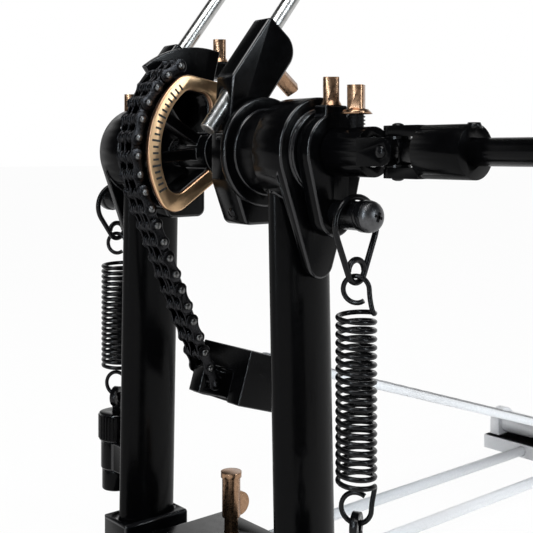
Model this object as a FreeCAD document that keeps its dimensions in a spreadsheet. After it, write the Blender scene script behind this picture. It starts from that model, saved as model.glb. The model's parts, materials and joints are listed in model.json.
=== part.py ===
"""Double bass drum pedal: a primary pedal with two beaters, a telescopic drive shaft with two
universal joints, and a slave pedal for the left foot.

+X is the drummer's right, +Y points at the drum, +Z is up. The origin lies on the floor, below
the beater shaft and midway between the primary pedal's posts. Lengths are in millimetres.
"""
import FreeCAD, Part
import math
import os
import re

import Sketcher
from FreeCAD import Placement, Rotation, Vector

# Driving dimensions, in millimetres and degrees.
SIZES = {
    # Frame of each pedal.
    "shaft_height": 205, "post_spacing": 120, "post_thickness": 14, "post_depth": 31,
    "post_seat": 9, "post_splay": 5.3, "socket_gap": 0.1, "running_gap": 0.05, "fit_gap": 0.05,
    "housing_radius": 22, "housing_width": 18, "boss_radius": 17, "boss_depth": 1.5,
    "tear_thickness": 4, "tear_drop": 44, "tear_tip": 7,
    "left_collar": 19, "right_collar": 3, "slave_collar": 8, "collar_radius": 18,
    "flange_radius": 23.5, "flange_thickness": 3.5,
    "shaft_diameter": 12, "bearing_diameter": 26, "bearing_width": 9, "bearing_land": 2.4,
    # Base casting, feet and heel.
    "foot_height": 3, "foot_radius": 11, "base_height": 12, "base_depth": 46, "base_margin": 12,
    "socket_height": 23.2, "socket_width": 21, "socket_depth": 37,
    "heel_reach": 285, "heel_height": 20, "heel_overhang": 0.6, "heel_length": 76, "heel_thickness": 9,
    "heel_ear": 7, "heel_ear_length": 18, "hinge_pin": 6, "heel_rise": 14,
    "rod_gauge": 40, "base_rod": 6, "rod_seat": 8,
    # Hoop clamp at the front of the primary base.
    "clamp_width": 44, "tongue_reach": 62, "tongue_thickness": 9,
    "jaw_pivot_y": 12, "jaw_pivot_z": 19.5, "jaw_pin": 6, "jaw_side_gap": 0.6, "jaw_ear": 5,
    "jaw_tail": 26, "jaw_low": 14, "jaw_top_z": 27, "jaw_nose_z": 24, "jaw_mouth_z": 20, "jaw_mouth_y": 27,
    "key_bolt_y": 12, "key_bolt": 6.5, "key_bolt_top": 55, "key_head": 9.8, "key_head_height": 2.5,
    "key_body": 8.6, "key_body_low": 34, "key_wing_radius": 5.5, "key_wing_shift": 3.7, "key_wing": 4,
    # Cam and roller chain.
    "chain_x": 5.5, "chain_pitch": 8, "wrap_radius": 43.5, "chain_tilt": 23.5,
    "link_height": 7, "link_waist": 2.4, "link_plate": 0.9, "link_gap": 0.15, "roller_diameter": 5,
    "roller_length": 2.6, "chain_pin": 2.4, "pin_stand": 1, "chain_seat": 0.6,
    "cam_width": 15, "cam_rim": 6.6, "cam_top": 31, "cam_top_slope": 9.5, "cam_low": 10.4,
    "cam_low_slope": 33.4, "cam_back": 8, "cam_hub": 11, "cam_window": 7, "cam_spoke": 5,
    "ring_thickness": 3, "ring_lip": 1.2, "cam_corner": 9, "window_corner": 6,
    "guide_radius": 49, "guide_thickness": 3.5, "guide_gap": 0.9, "guide_low": 52, "guide_high": 104,
    "spoke_high": 30,
    # Beater holders, rods and heads.
    "left_rod_x": 24.5, "right_rod_x": 40, "beater_lean": 38.3, "rod_diameter": 7, "rod_offset": 24.7,
    "rod_length": 198, "rod_tail": 4, "holder_thickness": 11, "left_holder_top": 51, "right_holder_top": 43,
    "holder_front": 32,
    "holder_back": 10, "holder_step": 16.5, "holder_toe": 18, "holder_round": 9, "holder_edge": 2.5,
    "block_width": 16, "block_depth": 29, "block_top": 18, "block_bottom": 31.5, "block_round": 4,
    "block_toe": 7, "block_chamfer": 12, "holder_shoulder": 32.6,
    "left_block_shift": 2.5, "right_block_shift": 2.5,
    "pinch_height": 36.7,
    "lug_bolt_x": 33, "lug_bolt_y": 26, "lug_bolt_z": 45, "lug_size": 9, "lug_reach": 22,
    "head_radius": 24, "head_length": 40, "head_height": 174, "head_round": 7,
    # Spring rockers, links, springs and tension bolts.
    "rocker_thickness": 7, "rocker_gap": 0.5, "rocker_radius": 15.5, "rocker_drop": 24.6, "lobe_radius": 9,
    "rocker_boss": 18.5, "rocker_boss_width": 12,
    "bushing_radius": 5.7, "bushing_length": 14, "screw_head": 12.6, "screw_head_height": 4, "stud": 6,
    "spring_x": 88.5, "link_wire": 2.5, "link_top_radius": 11.2, "link_top_drop": 28.5,
    "link_low_radius": 4, "link_low_drop": 41.5,
    "spring_wire": 2, "spring_outer": 16.3, "hook_radius": 5.2, "hook_gap": 0.3,
    "left_coil_top": 61, "left_pitch": 3.3, "right_coil_top": 57.5, "right_pitch": 2.75,
    "hook_reach": 2.5,
    "eye_radius": 5.2, "eye_hole": 2.4, "eye_thickness": 3, "tension_bolt": 5,
    "left_lug_rise": 0.4, "right_lug_rise": 15.7, "left_eye_rise": 22.4, "right_eye_rise": 22.2,
    "lug_height": 14.8, "lug_width": 12, "lug_radius": 8.3,
    "knob_radius": 9.3, "knob_height": 14, "lock_radius": 7.7, "lock_height": 10.5, "nut_gap": 0.3,
    # Drum-key bolts.
    "bolt_thread": 5, "bolt_square": 6.2, "bolt_corner": 7.6, "bolt_head": 11.2, "bolt_flange": 8.6,
    "bolt_flange_height": 2.4, "bolt_turn": 5, "yoke_bolt_flange": 12.4, "yoke_bolt_seat": 14.7,
    "yoke_bolt_turn": -13,
    # Drive shaft and universal joints.
    "yoke_gap": 1, "yoke_radius": 9.7, "yoke_hub": 19, "cross_reach": 110,
    "yoke_slot": 11.4, "yoke_arm_width": 10.6, "cross_pin": 5, "cross_block": 9.5, "rivet_stand": 1,
    "drive_yoke_reach": 145.5, "yoke_throat": 14, "drive_rod": 9.7, "drive_rod_end": 258,
    "sleeve_radius": 8, "sleeve_length": 86, "shaft_stub": 3.5,
    "slave_x": -430, "slave_shaft_end": 80,
    # Footboards.
    "toe_drop": 11.8, "toe_setback": 9.2, "board_toe_width": 30, "board_heel_width": 84,
    "board_thickness": 4, "board_lift": 2, "knuckle_radius": 7, "knuckle_gap": 0.4,
    "toe_depth": 33, "toe_height": 21, "toe_width": 36, "toe_lip": 3,
    "toe_lug": 8, "toe_lug_wall": 3,
    "toe_slot_length": 7.4, "toe_slot_height": 5.6,
}
# Counts.
WRAP_LINKS = 8
FREE_LINKS = 12
UNWRAP_LINKS = 4

doc = FreeCAD.newDocument("double_pedal")
dims = doc.addObject("Spreadsheet::Sheet", "dims")
for row, (alias, value) in enumerate(SIZES.items(), start=1):
    dims.set(f"A{row}", str(value))
    dims.setAlias(f"A{row}", alias)
doc.recompute()

nodes = []
AXIS_TURN = {"x": Rotation(Vector(0, 1, 0), 90), "y": Rotation(Vector(1, 0, 0), -90), "z": Rotation()}
X_AXIS = Vector(1, 0, 0)


def mm(alias):
    """A driving dimension, read back from the sheet."""
    return float(dims.get(alias))


def cells(text):
    """An expression with each driving dimension pointed at its cell."""
    def cell(word):
        return "dims." + word.group() if word.group() in SIZES else word.group()

    return re.sub(r"[a-z][a-z0-9_]*", cell, str(text))


def put(item, at, rotation=Rotation()):
    """Place an item, with its position bound to the sheet."""
    item.Placement = Placement(Vector(), rotation)
    for axis, text in zip("xyz", at):
        item.setExpression("Placement.Base." + axis, cells(text))
    return item


def lean(item, x, y, z, angle):
    """Turn an item about an X axis line through a point, by an angle from the sheet."""
    put(item, (x, y, z), Rotation(X_AXIS, 1))
    item.setExpression("Placement.Rotation.Angle", cells(angle))
    return item


def box(name, centre, size):
    item = doc.addObject("Part::Box", name)
    for prop, text in zip(("Length", "Width", "Height"), size):
        item.setExpression(prop, cells(text))
    return put(item, [f"{mid} - ({length}) / 2" for mid, length in zip(centre, size)])


def bar(name, axis, centre, radius, length):
    """A round bar along an axis, by its middle."""
    item = doc.addObject("Part::Cylinder", name)
    item.setExpression("Radius", cells(radius))
    item.setExpression("Height", cells(length))
    start = list(centre)
    index = "xyz".index(axis)
    start[index] = f"{centre[index]} - ({length}) / 2"
    return put(item, start, AXIS_TURN[axis])


def cone(name, axis, start, radius_one, radius_two, length):
    item = doc.addObject("Part::Cone", name)
    item.setExpression("Radius1", cells(radius_one))
    item.setExpression("Radius2", cells(radius_two))
    item.setExpression("Height", cells(length))
    return put(item, start, AXIS_TURN[axis])


def ball(name, centre, radius):
    item = doc.addObject("Part::Sphere", name)
    item.setExpression("Radius", cells(radius))
    return put(item, centre)


def square(name, foot, width, height, turn):
    """An upright square bar on a foot point, turned about its own axis."""
    item = doc.addObject("Part::Prism", name)
    item.Polygon = 4
    item.setExpression("Circumradius", cells(f"{width} / sqrt(2)"))
    item.setExpression("Height", cells(height))
    put(item, foot, Rotation(Vector(0, 0, 1), 1))
    item.setExpression("Placement.Rotation.Angle", cells(turn))
    return item


def join(name, *parts):
    item = doc.addObject("Part::MultiFuse", name)
    item.Shapes = list(parts)
    item.Refine = True
    return item


def trim(name, base, *tools):
    """A base with every tool cut out of it."""
    item = doc.addObject("Part::Cut", name)
    item.Base = base
    item.Tool = tools[0] if len(tools) == 1 else join(name + "_tools", *tools)
    item.Refine = True
    return item


def common(name, first, second):
    item = doc.addObject("Part::Common", name)
    item.Base = first
    item.Tool = second
    return item


def plate(name, plane, outline, thickness, rounds=()):
    """A padded polygon whose corners are bound to the sheet, centred on its plane.

    rounds pairs corner numbers with a fillet radius.
    """
    body = doc.addObject("PartDesign::Body", name)
    origin = next(item for item in body.Origin.OriginFeatures if item.Role == plane)
    sketch = body.newObject("Sketcher::SketchObject", name + "_outline")
    sketch.AttachmentSupport = [(origin, "")]
    sketch.MapMode = "FlatFace"
    count = len(outline)
    spread = [2 * math.pi * i / count for i in range(count)]
    ring = [Vector(math.cos(angle), math.sin(angle), 0) for angle in spread]
    for i in range(count):
        sketch.addGeometry(Part.LineSegment(ring[i], ring[(i + 1) % count]), False)
    for i in range(count):
        sketch.addConstraint(Sketcher.Constraint("Coincident", i, 2, (i + 1) % count, 1))
    for i, corner in enumerate(outline):
        for kind, text in zip(("DistanceX", "DistanceY"), corner):
            number = sketch.addConstraint(Sketcher.Constraint(kind, -1, 1, i, 1, 1.0))
            sketch.setExpression(f"Constraints[{number}]", cells(text))
    pad = body.newObject("PartDesign::Pad", name + "_pad")
    pad.Profile = sketch
    pad.setExpression("Length", cells(thickness))
    pad.Midplane = True
    doc.recompute()
    base = pad
    for step, (corners, radius) in enumerate(rounds):
        fillet = body.newObject("PartDesign::Fillet", f"{name}_round_{step}")
        wanted = [sketch.Placement.multVec(sketch.Geometry[i].StartPoint) for i in corners]
        normal = sketch.Placement.Rotation.multVec(Vector(0, 0, 1))
        edges = []
        for number, edge in enumerate(base.Shape.Edges, start=1):
            middle = edge.CenterOfMass
            flat = middle - normal * middle.dot(normal)
            if edge.tangentAt(edge.FirstParameter).cross(normal).Length < 0.01:
                if any((flat - spot).Length < 0.01 for spot in wanted):
                    edges.append(f"Edge{number}")
        fillet.Base = (base, edges)
        fillet.setExpression("Radius", cells(radius))
        doc.recompute()
        base = fillet
    return body


def rounded(name, item, radius):
    """An item with its straight edges along X rounded."""
    doc.recompute()
    fillet = doc.addObject("Part::Fillet", name)
    fillet.Base = item
    edges = enumerate(item.Shape.Edges, start=1)
    along = [number for number, edge in edges
             if edge.tangentAt(edge.FirstParameter).cross(X_AXIS).Length < 0.01]
    fillet.Edges = [(number, mm(radius), mm(radius)) for number in along]
    return fillet


def node(item, label):
    """Name a finished sub-part."""
    item.Label = label
    if item.Label != label:
        raise RuntimeError(f"the label {label} is taken")
    nodes.append(item)
    return item


def made(label, solids):
    """A sub-part whose solids are worked out below from the sheet."""
    item = doc.addObject("Part::Feature", label + "_shape")
    item.Shape = solids[0] if len(solids) == 1 else Part.makeCompound(solids)
    return node(item, label)


# Places that several sub-parts share.
AXIS_Z = "shaft_height"
OUTER_FACE = "(post_spacing / 2 + housing_width / 2 + boss_depth)"
ROCKER_X = f"({OUTER_FACE} + rocker_gap + rocker_thickness / 2)"
ROCKER_FACE = f"({OUTER_FACE} + rocker_gap + rocker_thickness)"
CAM_RADIUS = "(wrap_radius - link_height / 2 - chain_seat)"
FREE_RUN = f"({FREE_LINKS} * chain_pitch)"
CHAIN_END_Y = f"(wrap_radius * cos(chain_tilt) - {FREE_RUN} * sin(chain_tilt))"
CHAIN_END_Z = f"(shaft_height - wrap_radius * sin(chain_tilt) - {FREE_RUN} * cos(chain_tilt))"
CHAIN_AHEAD = f"({CHAIN_END_Y} + heel_reach)"
CHAIN_ABOVE = f"({CHAIN_END_Z} - heel_height)"
CHAIN_REACH = f"sqrt({CHAIN_AHEAD} ^ 2 + {CHAIN_ABOVE} ^ 2)"
BOARD_SLOPE = f"(atan2({CHAIN_ABOVE}; {CHAIN_AHEAD}) + asin(toe_drop / {CHAIN_REACH}))"
PIN_Y = f"sqrt({CHAIN_AHEAD} ^ 2 + {CHAIN_ABOVE} ^ 2 - toe_drop ^ 2)"
BOARD_LENGTH = f"({PIN_Y} - toe_setback)"
ROD_Z = "((foot_height + base_height) / 2)"
HEEL_MIDDLE = "(hinge_pin - heel_reach - heel_length / 2 + heel_ear_length / 2)"
HEEL_WIDTH = "(board_heel_width + 2 * (knuckle_gap + heel_ear + heel_overhang))"
SIDES = (("one", "-1"), ("two", "1"))


def splayed(name, section, sign, length):
    """A section drawn up along a post, which leans in towards its top."""
    item = doc.addObject("Part::Extrusion", name)
    item.Base = section
    item.DirMode = "Custom"
    item.Dir = Vector(0, 0, 1)
    item.setExpression("Dir.x", cells(f"-({sign}) * post_splay / (shaft_height - post_seat)"))
    item.Solid = True
    item.setExpression("LengthFwd", cells(length))
    return item


def lug_middle(rise):
    """Height of the middle of a spring lug that stands some way above the socket."""
    return f"(socket_height + {rise} + lug_height / 2)"


# Posts with their bearing housings.
def post(name, centre, sign, collar, lug_rise=None, flanged=False):
    x = f"{centre} + {sign} * post_spacing / 2"
    section = doc.addObject("Part::Ellipse", name + "_section")
    section.setExpression("MajorRadius", cells("post_depth / 2"))
    section.setExpression("MinorRadius", cells("post_thickness / 2"))
    put(section, (x, "0", "post_seat"), Rotation(Vector(0, 0, 1), 90))
    column = splayed(name + "_column", section, sign, "shaft_height - post_seat")
    housing = bar(name + "_housing", "x", (x, "0", AXIS_Z), "housing_radius", "housing_width")
    boss = bar(name + "_boss", "x", (f"{centre} + {sign} * ({OUTER_FACE} - boss_depth / 2)", "0", AXIS_Z),
               "boss_radius", "boss_depth")
    slope = "asin((housing_radius - tear_tip) / tear_drop)"
    side_y, side_z = f"cos({slope})", f"sin({slope})"
    tear_x = f"{centre} + {sign} * (post_spacing / 2 + housing_width / 2 - tear_thickness / 2)"
    tear = plate(name + "_tear", "YZ_Plane",
                 [(f"-housing_radius * {side_y}", f"-housing_radius * {side_z}"),
                  (f"-tear_tip * {side_y}", f"-tear_drop - tear_tip * {side_z}"),
                  (f"tear_tip * {side_y}", f"-tear_drop - tear_tip * {side_z}"),
                  (f"housing_radius * {side_y}", f"-housing_radius * {side_z}")], "tear_thickness")
    put(tear, (tear_x, "0", AXIS_Z))
    tip = bar(name + "_tip", "x", (tear_x, "0", f"{AXIS_Z} - tear_drop"), "tear_tip", "tear_thickness")
    inner = f"{centre} + {sign} * (post_spacing / 2 - housing_width / 2 - ({collar}) / 2)"
    ring = bar(name + "_collar", "x", (inner, "0", AXIS_Z), "collar_radius", collar)
    solids = [column, housing, boss, tear, tip, ring]
    if flanged:
        at = f"{centre} + {sign} * (post_spacing / 2 - housing_width / 2 - {collar} + flange_thickness / 2)"
        solids.append(bar(name + "_flange", "x", (at, "0", AXIS_Z), "flange_radius", "flange_thickness"))
    seat = f"{centre} + {sign} * ({OUTER_FACE} - bearing_width / 2)"
    cuts = [bar(name + "_seat", "x", (seat, "0", AXIS_Z), "bearing_diameter / 2 + fit_gap", "bearing_width"),
            bar(name + "_way", "x", (x, "0", AXIS_Z), "shaft_diameter / 2 + bearing_land",
                f"2 * housing_width + 2 * ({collar})")]
    if lug_rise:
        lug_z = lug_middle(lug_rise)
        reach = "spring_x - post_spacing / 2"
        lug_x = f"{centre} + {sign} * (post_spacing / 2 + ({reach}) / 2)"
        eye = (f"{centre} + {sign} * spring_x", "0", lug_z)
        solids.append(box(name + "_lug", (lug_x, "0", lug_z), (reach, "lug_width", "lug_height")))
        solids.append(bar(name + "_lug_boss", "z", eye, "lug_radius", "lug_height"))
        cuts.append(bar(name + "_lug_hole", "z", eye, "tension_bolt / 2 + running_gap", "2 * lug_height"))
    return trim(name, join(name + "_blank", *solids), *cuts)


def bearing(name, centre, sign):
    at = (f"{centre} + {sign} * ({OUTER_FACE} - bearing_width / 2)", "0", AXIS_Z)
    return trim(name, bar(name + "_outer", "x", at, "bearing_diameter / 2", "bearing_width"),
                bar(name + "_bore", "x", at, "shaft_diameter / 2 + running_gap", "2 * bearing_width"))


def group(label, *items):
    """Identical pieces that share a node as separate solids."""
    item = doc.addObject("Part::Compound", label + "_group")
    item.Links = list(items)
    return node(item, label)


node(post("left_post_body", "0", "-1", "left_collar", "left_lug_rise", flanged=True), "left_post")
node(post("right_post_body", "0", "1", "right_collar", "right_lug_rise"), "right_post")
group("post_bearings", bearing("left_bearing", "0", "-1"), bearing("right_bearing", "0", "1"))
group("slave_posts", post("slave_post_one", "slave_x", "-1", "slave_collar"),
      post("slave_post_two", "slave_x", "1", "slave_collar"))
group("slave_bearings", bearing("slave_bearing_one", "slave_x", "-1"),
      bearing("slave_bearing_two", "slave_x", "1"))


# Base castings: a cross beam on rubber feet with a socket for each post.
def base(name, centre, clamp):
    beam = box(name + "_beam", (centre, "0", "(base_height + foot_height) / 2"),
               ("post_spacing + 2 * base_margin", "base_depth", "base_height - foot_height"))
    solids = [beam]
    cuts = []
    for word, sign in SIDES:
        x = f"{centre} + {sign} * post_spacing / 2"
        solids.append(box(f"{name}_socket_{word}", (x, "0", "(socket_height + foot_height) / 2"),
                          ("socket_width", "socket_depth", "socket_height - foot_height")))
        hole = doc.addObject("Part::Ellipse", f"{name}_hole_{word}")
        hole.setExpression("MajorRadius", cells("post_depth / 2 + socket_gap"))
        hole.setExpression("MinorRadius", cells("post_thickness / 2 + socket_gap"))
        put(hole, (x, "0", "post_seat"), Rotation(Vector(0, 0, 1), 90))
        cuts.append(splayed(f"{name}_pocket_{word}", hole, sign, "2 * socket_height"))
        rod_x = f"{centre} + chain_x + {sign} * rod_gauge / 2"
        cuts.append(bar(f"{name}_rod_hole_{word}", "y", (rod_x, "-base_depth / 2", ROD_Z),
                        "base_rod / 2 + fit_gap", "2 * rod_seat"))
    if clamp:
        width = "(clamp_width + 2 * jaw_side_gap)"
        tongue_middle = ("chain_x", "tongue_reach / 2", "foot_height + tongue_thickness / 2")
        solids.append(box(name + "_tongue", tongue_middle,
                          ("clamp_width", "tongue_reach", "tongue_thickness")))
        pivot = ("chain_x", "jaw_pivot_y", "jaw_pivot_z")
        after = [bar(name + "_jaw_pin", "x", pivot, "jaw_pin / 2", f"{width} + 2 * jaw_ear")]
        for word, sign in SIDES:
            ear_x = f"chain_x + {sign} * ({width} / 2 + jaw_ear / 2)"
            after.append(box(f"{name}_ear_{word}", (ear_x, "jaw_pivot_y", "(foot_height + jaw_pivot_z) / 2"),
                             ("jaw_ear", "2 * jaw_pin", "jaw_pivot_z - foot_height")))
            after.append(bar(f"{name}_ear_top_{word}", "x", (ear_x, *pivot[1:]), "jaw_pin", "jaw_ear"))
        return join(name, trim(name + "_blank", join(name + "_solids", *solids), *cuts), *after)
    return trim(name, join(name + "_solids", *solids), *cuts)


node(base("primary_base_body", "0", clamp=True), "primary_base")
node(base("slave_base_body", "slave_x", clamp=False), "slave_base")


def feet(label, centre):
    """Rubber under the pedal: a strip below the cross beam and two round feet below the heel plate."""
    strip_length = "post_spacing + 2 * base_margin - 2 * foot_height"
    pads = [box(label + "_strip", (centre, "0", "foot_height / 2"),
                (strip_length, "base_depth - 2 * foot_height", "foot_height"))]
    for word, sign in SIDES:
        x = f"{centre} + chain_x + {sign} * ({HEEL_WIDTH} / 2 - foot_radius - foot_height)"
        pads.append(bar(f"{label}_{word}", "z", (x, HEEL_MIDDLE, "foot_height / 2"),
                        "foot_radius", "foot_height"))
    return group(label, *pads)


feet("primary_feet", "0")
feet("slave_feet", "slave_x")


def heel(name, centre):
    """Heel plate with two ears that hold the footboard's hinge pin."""
    x = f"{centre} + chain_x"
    slab = box(name + "_slab", (x, HEEL_MIDDLE, "foot_height + heel_thickness / 2"),
               (HEEL_WIDTH, "heel_length", "heel_thickness"))
    rest = box(name + "_rest", (x, f"{HEEL_MIDDLE} - heel_ear_length", "foot_height + heel_rise / 2"),
               ("board_heel_width", "heel_length - 2 * heel_ear_length", "heel_rise"))
    solids = [slab, rest]
    for word, sign in SIDES:
        ear_x = f"{x} + {sign} * (board_heel_width / 2 + knuckle_gap + heel_ear / 2)"
        solids.append(box(f"{name}_ear_{word}", (ear_x, "-heel_reach", "(foot_height + heel_height) / 2"),
                          ("heel_ear", "heel_ear_length", "heel_height - foot_height")))
        solids.append(bar(f"{name}_ear_top_{word}", "x", (ear_x, "-heel_reach", "heel_height"),
                          "heel_ear_length / 2", "heel_ear"))
    hinge = (x, "-heel_reach", "heel_height")
    cuts = [bar(name + "_pin_hole", "x", hinge, "hinge_pin / 2 + fit_gap", f"2 * {HEEL_WIDTH}"),
            bar(name + "_knuckle_room", "x", hinge, "knuckle_radius + 2 * knuckle_gap",
                "board_heel_width + 2 * knuckle_gap")]
    for word, sign in SIDES:
        mouth = (f"{x} + {sign} * rod_gauge / 2", f"{HEEL_MIDDLE} + heel_length / 2", ROD_Z)
        cuts.append(bar(f"{name}_rod_hole_{word}", "y", mouth, "base_rod / 2 + fit_gap", "2 * rod_seat"))
    return trim(name, join(name + "_blank", *solids), *cuts)


def heel_pin(name, centre):
    return bar(name, "x", (f"{centre} + chain_x", "-heel_reach", "heel_height"), "hinge_pin / 2",
               "board_heel_width + 2 * knuckle_gap + 2 * heel_ear")


def base_rods(name, centre):
    """Two steel rods that tie the heel plate to the cross beam."""
    near = "(base_depth / 2 - rod_seat)"
    far = f"(-{HEEL_MIDDLE} - heel_length / 2 + rod_seat)"
    rods = []
    for word, sign in SIDES:
        at = (f"{centre} + chain_x + {sign} * rod_gauge / 2", f"-({near} + {far}) / 2", ROD_Z)
        rods.append(bar(f"{name}_{word}", "y", at, "base_rod / 2", f"{far} - {near}"))
    return rods


node(heel("primary_heel_body", "0"), "primary_heel_plate")
node(heel("slave_heel_body", "slave_x"), "slave_heel_plate")
node(heel_pin("primary_heel_pin_bar", "0"), "primary_heel_pin")
group("primary_base_rods", *base_rods("primary_base_rod", "0"))
group("slave_rods_and_pin", *base_rods("slave_base_rod", "slave_x"), heel_pin("slave_heel_pin", "slave_x"))


# Hoop clamp: a rocking jaw over the base's tongue, worked by a key bolt behind its pivot.
def hoop_jaw():
    side = plate("hoop_jaw_side", "YZ_Plane",
                 [("-jaw_tail", "jaw_low"), ("jaw_mouth_y", "jaw_low"), ("jaw_mouth_y", "jaw_mouth_z"),
                  ("tongue_reach", "jaw_mouth_z"), ("tongue_reach", "jaw_nose_z"),
                  ("jaw_mouth_y", "jaw_top_z"), ("-jaw_tail", "jaw_top_z")], "clamp_width")
    put(side, ("chain_x", "0", "0"))
    pivot = ("chain_x", "jaw_pivot_y", "jaw_pivot_z")
    bolt = ("chain_x", "-key_bolt_y", "jaw_top_z")
    return trim("hoop_jaw_body", side,
                bar("hoop_jaw_bore", "x", pivot, "jaw_pin / 2 + running_gap", "2 * clamp_width"),
                bar("hoop_jaw_bolt_way", "z", bolt, "key_bolt / 2 + running_gap", "2 * jaw_top_z"))


def hoop_bolt():
    """The clamp's bolt: a thread, a round body with a wing at its foot, and a round cap."""
    low = "(foot_height + tongue_thickness + nut_gap)"
    head_low = "(key_bolt_top - key_head_height)"
    at = ("chain_x", "-key_bolt_y")
    wing = ("chain_x", "-key_bolt_y - key_wing_shift", "key_body_low + key_wing_radius")
    return join("hoop_bolt_body",
                bar("hoop_bolt_thread", "z", (*at, f"({low} + key_body_low) / 2"),
                    "key_bolt / 2", f"key_body_low - {low}"),
                bar("hoop_bolt_stem", "z", (*at, f"(key_body_low + {head_low}) / 2"),
                    "key_body / 2", f"{head_low} - key_body_low"),
                bar("hoop_bolt_wing", "x", wing, "key_wing_radius", "key_wing"),
                bar("hoop_bolt_head", "z", (*at, f"{head_low} + key_head_height / 2"), "key_head / 2",
                    "key_head_height"))


node(hoop_jaw(), "hoop_jaw")
node(hoop_bolt(), "hoop_bolt")


# Shafts. The two halves of the primary pedal's beater axis meet end to end.
def shaft(name, start, end):
    """A round shaft on the beater axis between two X places."""
    return bar(name, "x", (f"({start} + {end}) / 2", "0", AXIS_Z), "shaft_diameter / 2", f"{end} - ({start})")


SHAFT_MEET = "(left_rod_x - left_block_shift - block_width / 2 - shaft_stub)"
YOKE_END = f"({ROCKER_FACE} + yoke_gap + yoke_hub)"
node(shaft("primary_shaft_bar", f"-{SHAFT_MEET}", ROCKER_FACE), "primary_shaft")
node(shaft("secondary_shaft_bar", f"-{YOKE_END}", f"-({SHAFT_MEET} + nut_gap)"), "secondary_shaft")
node(shaft("slave_shaft_bar", "slave_x - slave_shaft_end", f"slave_x + {YOKE_END}"), "slave_shaft")


# Cam: a sector rim on a hub, with a chain guide plate on the far side.
def sector(name, centre_x, radius, inset, back, thickness):
    """A cylinder's slice between the cam's two straight sides."""
    far = "2 * wrap_radius"
    top, top_rise = f"cam_top - ({inset}) / cos(cam_top_slope)", "tan(cam_top_slope)"
    low, low_fall = f"cam_low - ({inset}) / cos(cam_low_slope)", "tan(cam_low_slope)"
    wedge = plate(name + "_wedge", "YZ_Plane",
                  [(back, f"-({low}) - ({back}) * {low_fall}"), (far, f"-({low}) - {far} * {low_fall}"),
                   (far, f"{top} + {far} * {top_rise}"), (back, f"{top} + ({back}) * {top_rise}")], thickness)
    put(wedge, (centre_x, "0", AXIS_Z))
    disc = bar(name + "_disc", "x", (centre_x, "0", AXIS_Z), radius, f"2 * ({thickness})")
    return common(name, disc, wedge)


def cam_frame(name, centre_x, radius, thickness):
    """The sector with its window, both with rounded corners."""
    outside = sector(name + "_sector", centre_x, radius, "0", "-cam_back", thickness)
    window = sector(name + "_window", centre_x, f"{radius} - cam_rim", "cam_rim", "cam_window",
                    f"2 * ({thickness})")
    return trim(name, rounded(name + "_corners", outside, "cam_corner"),
                rounded(name + "_window_corners", window, "window_corner"))


def guide_plate(name, centre_x):
    """Chain guide: a taller sector beside the chain."""
    far = "2 * guide_radius"
    x = f"{centre_x} + cam_width / 2 + guide_gap + guide_thickness / 2"
    wedge = plate(name + "_wedge", "YZ_Plane",
                  [("0", "0"), (f"{far} * cos(guide_low)", f"{far} * sin(guide_low)"),
                   (f"{far} * cos(guide_high)", f"{far} * sin(guide_high)")], "guide_thickness")
    put(wedge, (x, "0", AXIS_Z))
    disc = bar(name + "_disc", "x", (x, "0", AXIS_Z), "guide_radius", "2 * guide_thickness")
    hub_x = f"{centre_x} + (guide_gap + guide_thickness - ring_thickness) / 2"
    hub = bar(name + "_hub", "x", (hub_x, "0", AXIS_Z), "cam_hub",
              "cam_width + guide_gap + guide_thickness + ring_thickness")
    return [common(name + "_fan", disc, wedge), hub]


def spoke(name, centre_x, angle):
    """A radial rib from the hub to the rim."""
    start = "(cam_hub - cam_spoke)"
    rib = plate(name, "YZ_Plane",
                [(start, "-cam_spoke / 2"), (f"{CAM_RADIUS} - cam_rim / 2", "-cam_spoke / 2"),
                 (f"{CAM_RADIUS} - cam_rim / 2", "cam_spoke / 2"), (start, "cam_spoke / 2")], "cam_width / 2")
    return lean(rib, centre_x, "0", AXIS_Z, angle)


def cam(name, centre):
    x = f"{centre} + chain_x"
    solids = [cam_frame(name + "_rim", x, CAM_RADIUS, "cam_width"),
              spoke(name + "_spoke_one", x, "spoke_high"), spoke(name + "_spoke_two", x, "-beater_lean / 8"),
              *guide_plate(name + "_guide", x)]
    return solids, bar(name + "_bore", "x", (x, "0", AXIS_Z), "shaft_diameter / 2 + fit_gap", "4 * cam_width")


def cam_ring(name, centre):
    """Flat ring on the cam's near side, round the hub."""
    x = f"{centre} + chain_x - cam_width / 2 - ring_thickness / 2"
    return trim(name, cam_frame(name + "_flat", x, f"({CAM_RADIUS} + ring_lip)", "ring_thickness"),
                bar(name + "_hole", "x", (x, "0", AXIS_Z), "cam_hub + fit_gap", "4 * ring_thickness"))


cam_solids, cam_bore = cam("primary_cam", "0")
node(trim("cam_wheel_body", join("cam_wheel_blank", *cam_solids), cam_bore), "cam_wheel")
node(cam_ring("cam_ring_body", "0"), "cam_ring")
slave_solids, slave_bore = cam("slave_cam", "slave_x")
node(trim("slave_cam_body", join("slave_cam_blank", *slave_solids), slave_bore), "slave_cam")


# Duplex roller chain.
PITCH_ANGLE = 2 * math.asin(mm("chain_pitch") / 2 / mm("wrap_radius"))
TILT = math.radians(mm("chain_tilt"))


def pin_place(number):
    """A chain pin's Y and Z: round the cam first, then down the straight run."""
    radius = mm("wrap_radius")
    if number <= WRAP_LINKS:
        angle = (WRAP_LINKS - number) * PITCH_ANGLE - TILT
        return radius * math.cos(angle), mm("shaft_height") + radius * math.sin(angle)
    run = (number - WRAP_LINKS) * mm("chain_pitch")
    return (radius * math.cos(TILT) - run * math.sin(TILT),
            mm("shaft_height") - radius * math.sin(TILT) - run * math.cos(TILT))


def round_bar(x, y, length, radius):
    return Part.makeCylinder(radius, length, Vector(x - length / 2, y, 0), X_AXIS)


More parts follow.
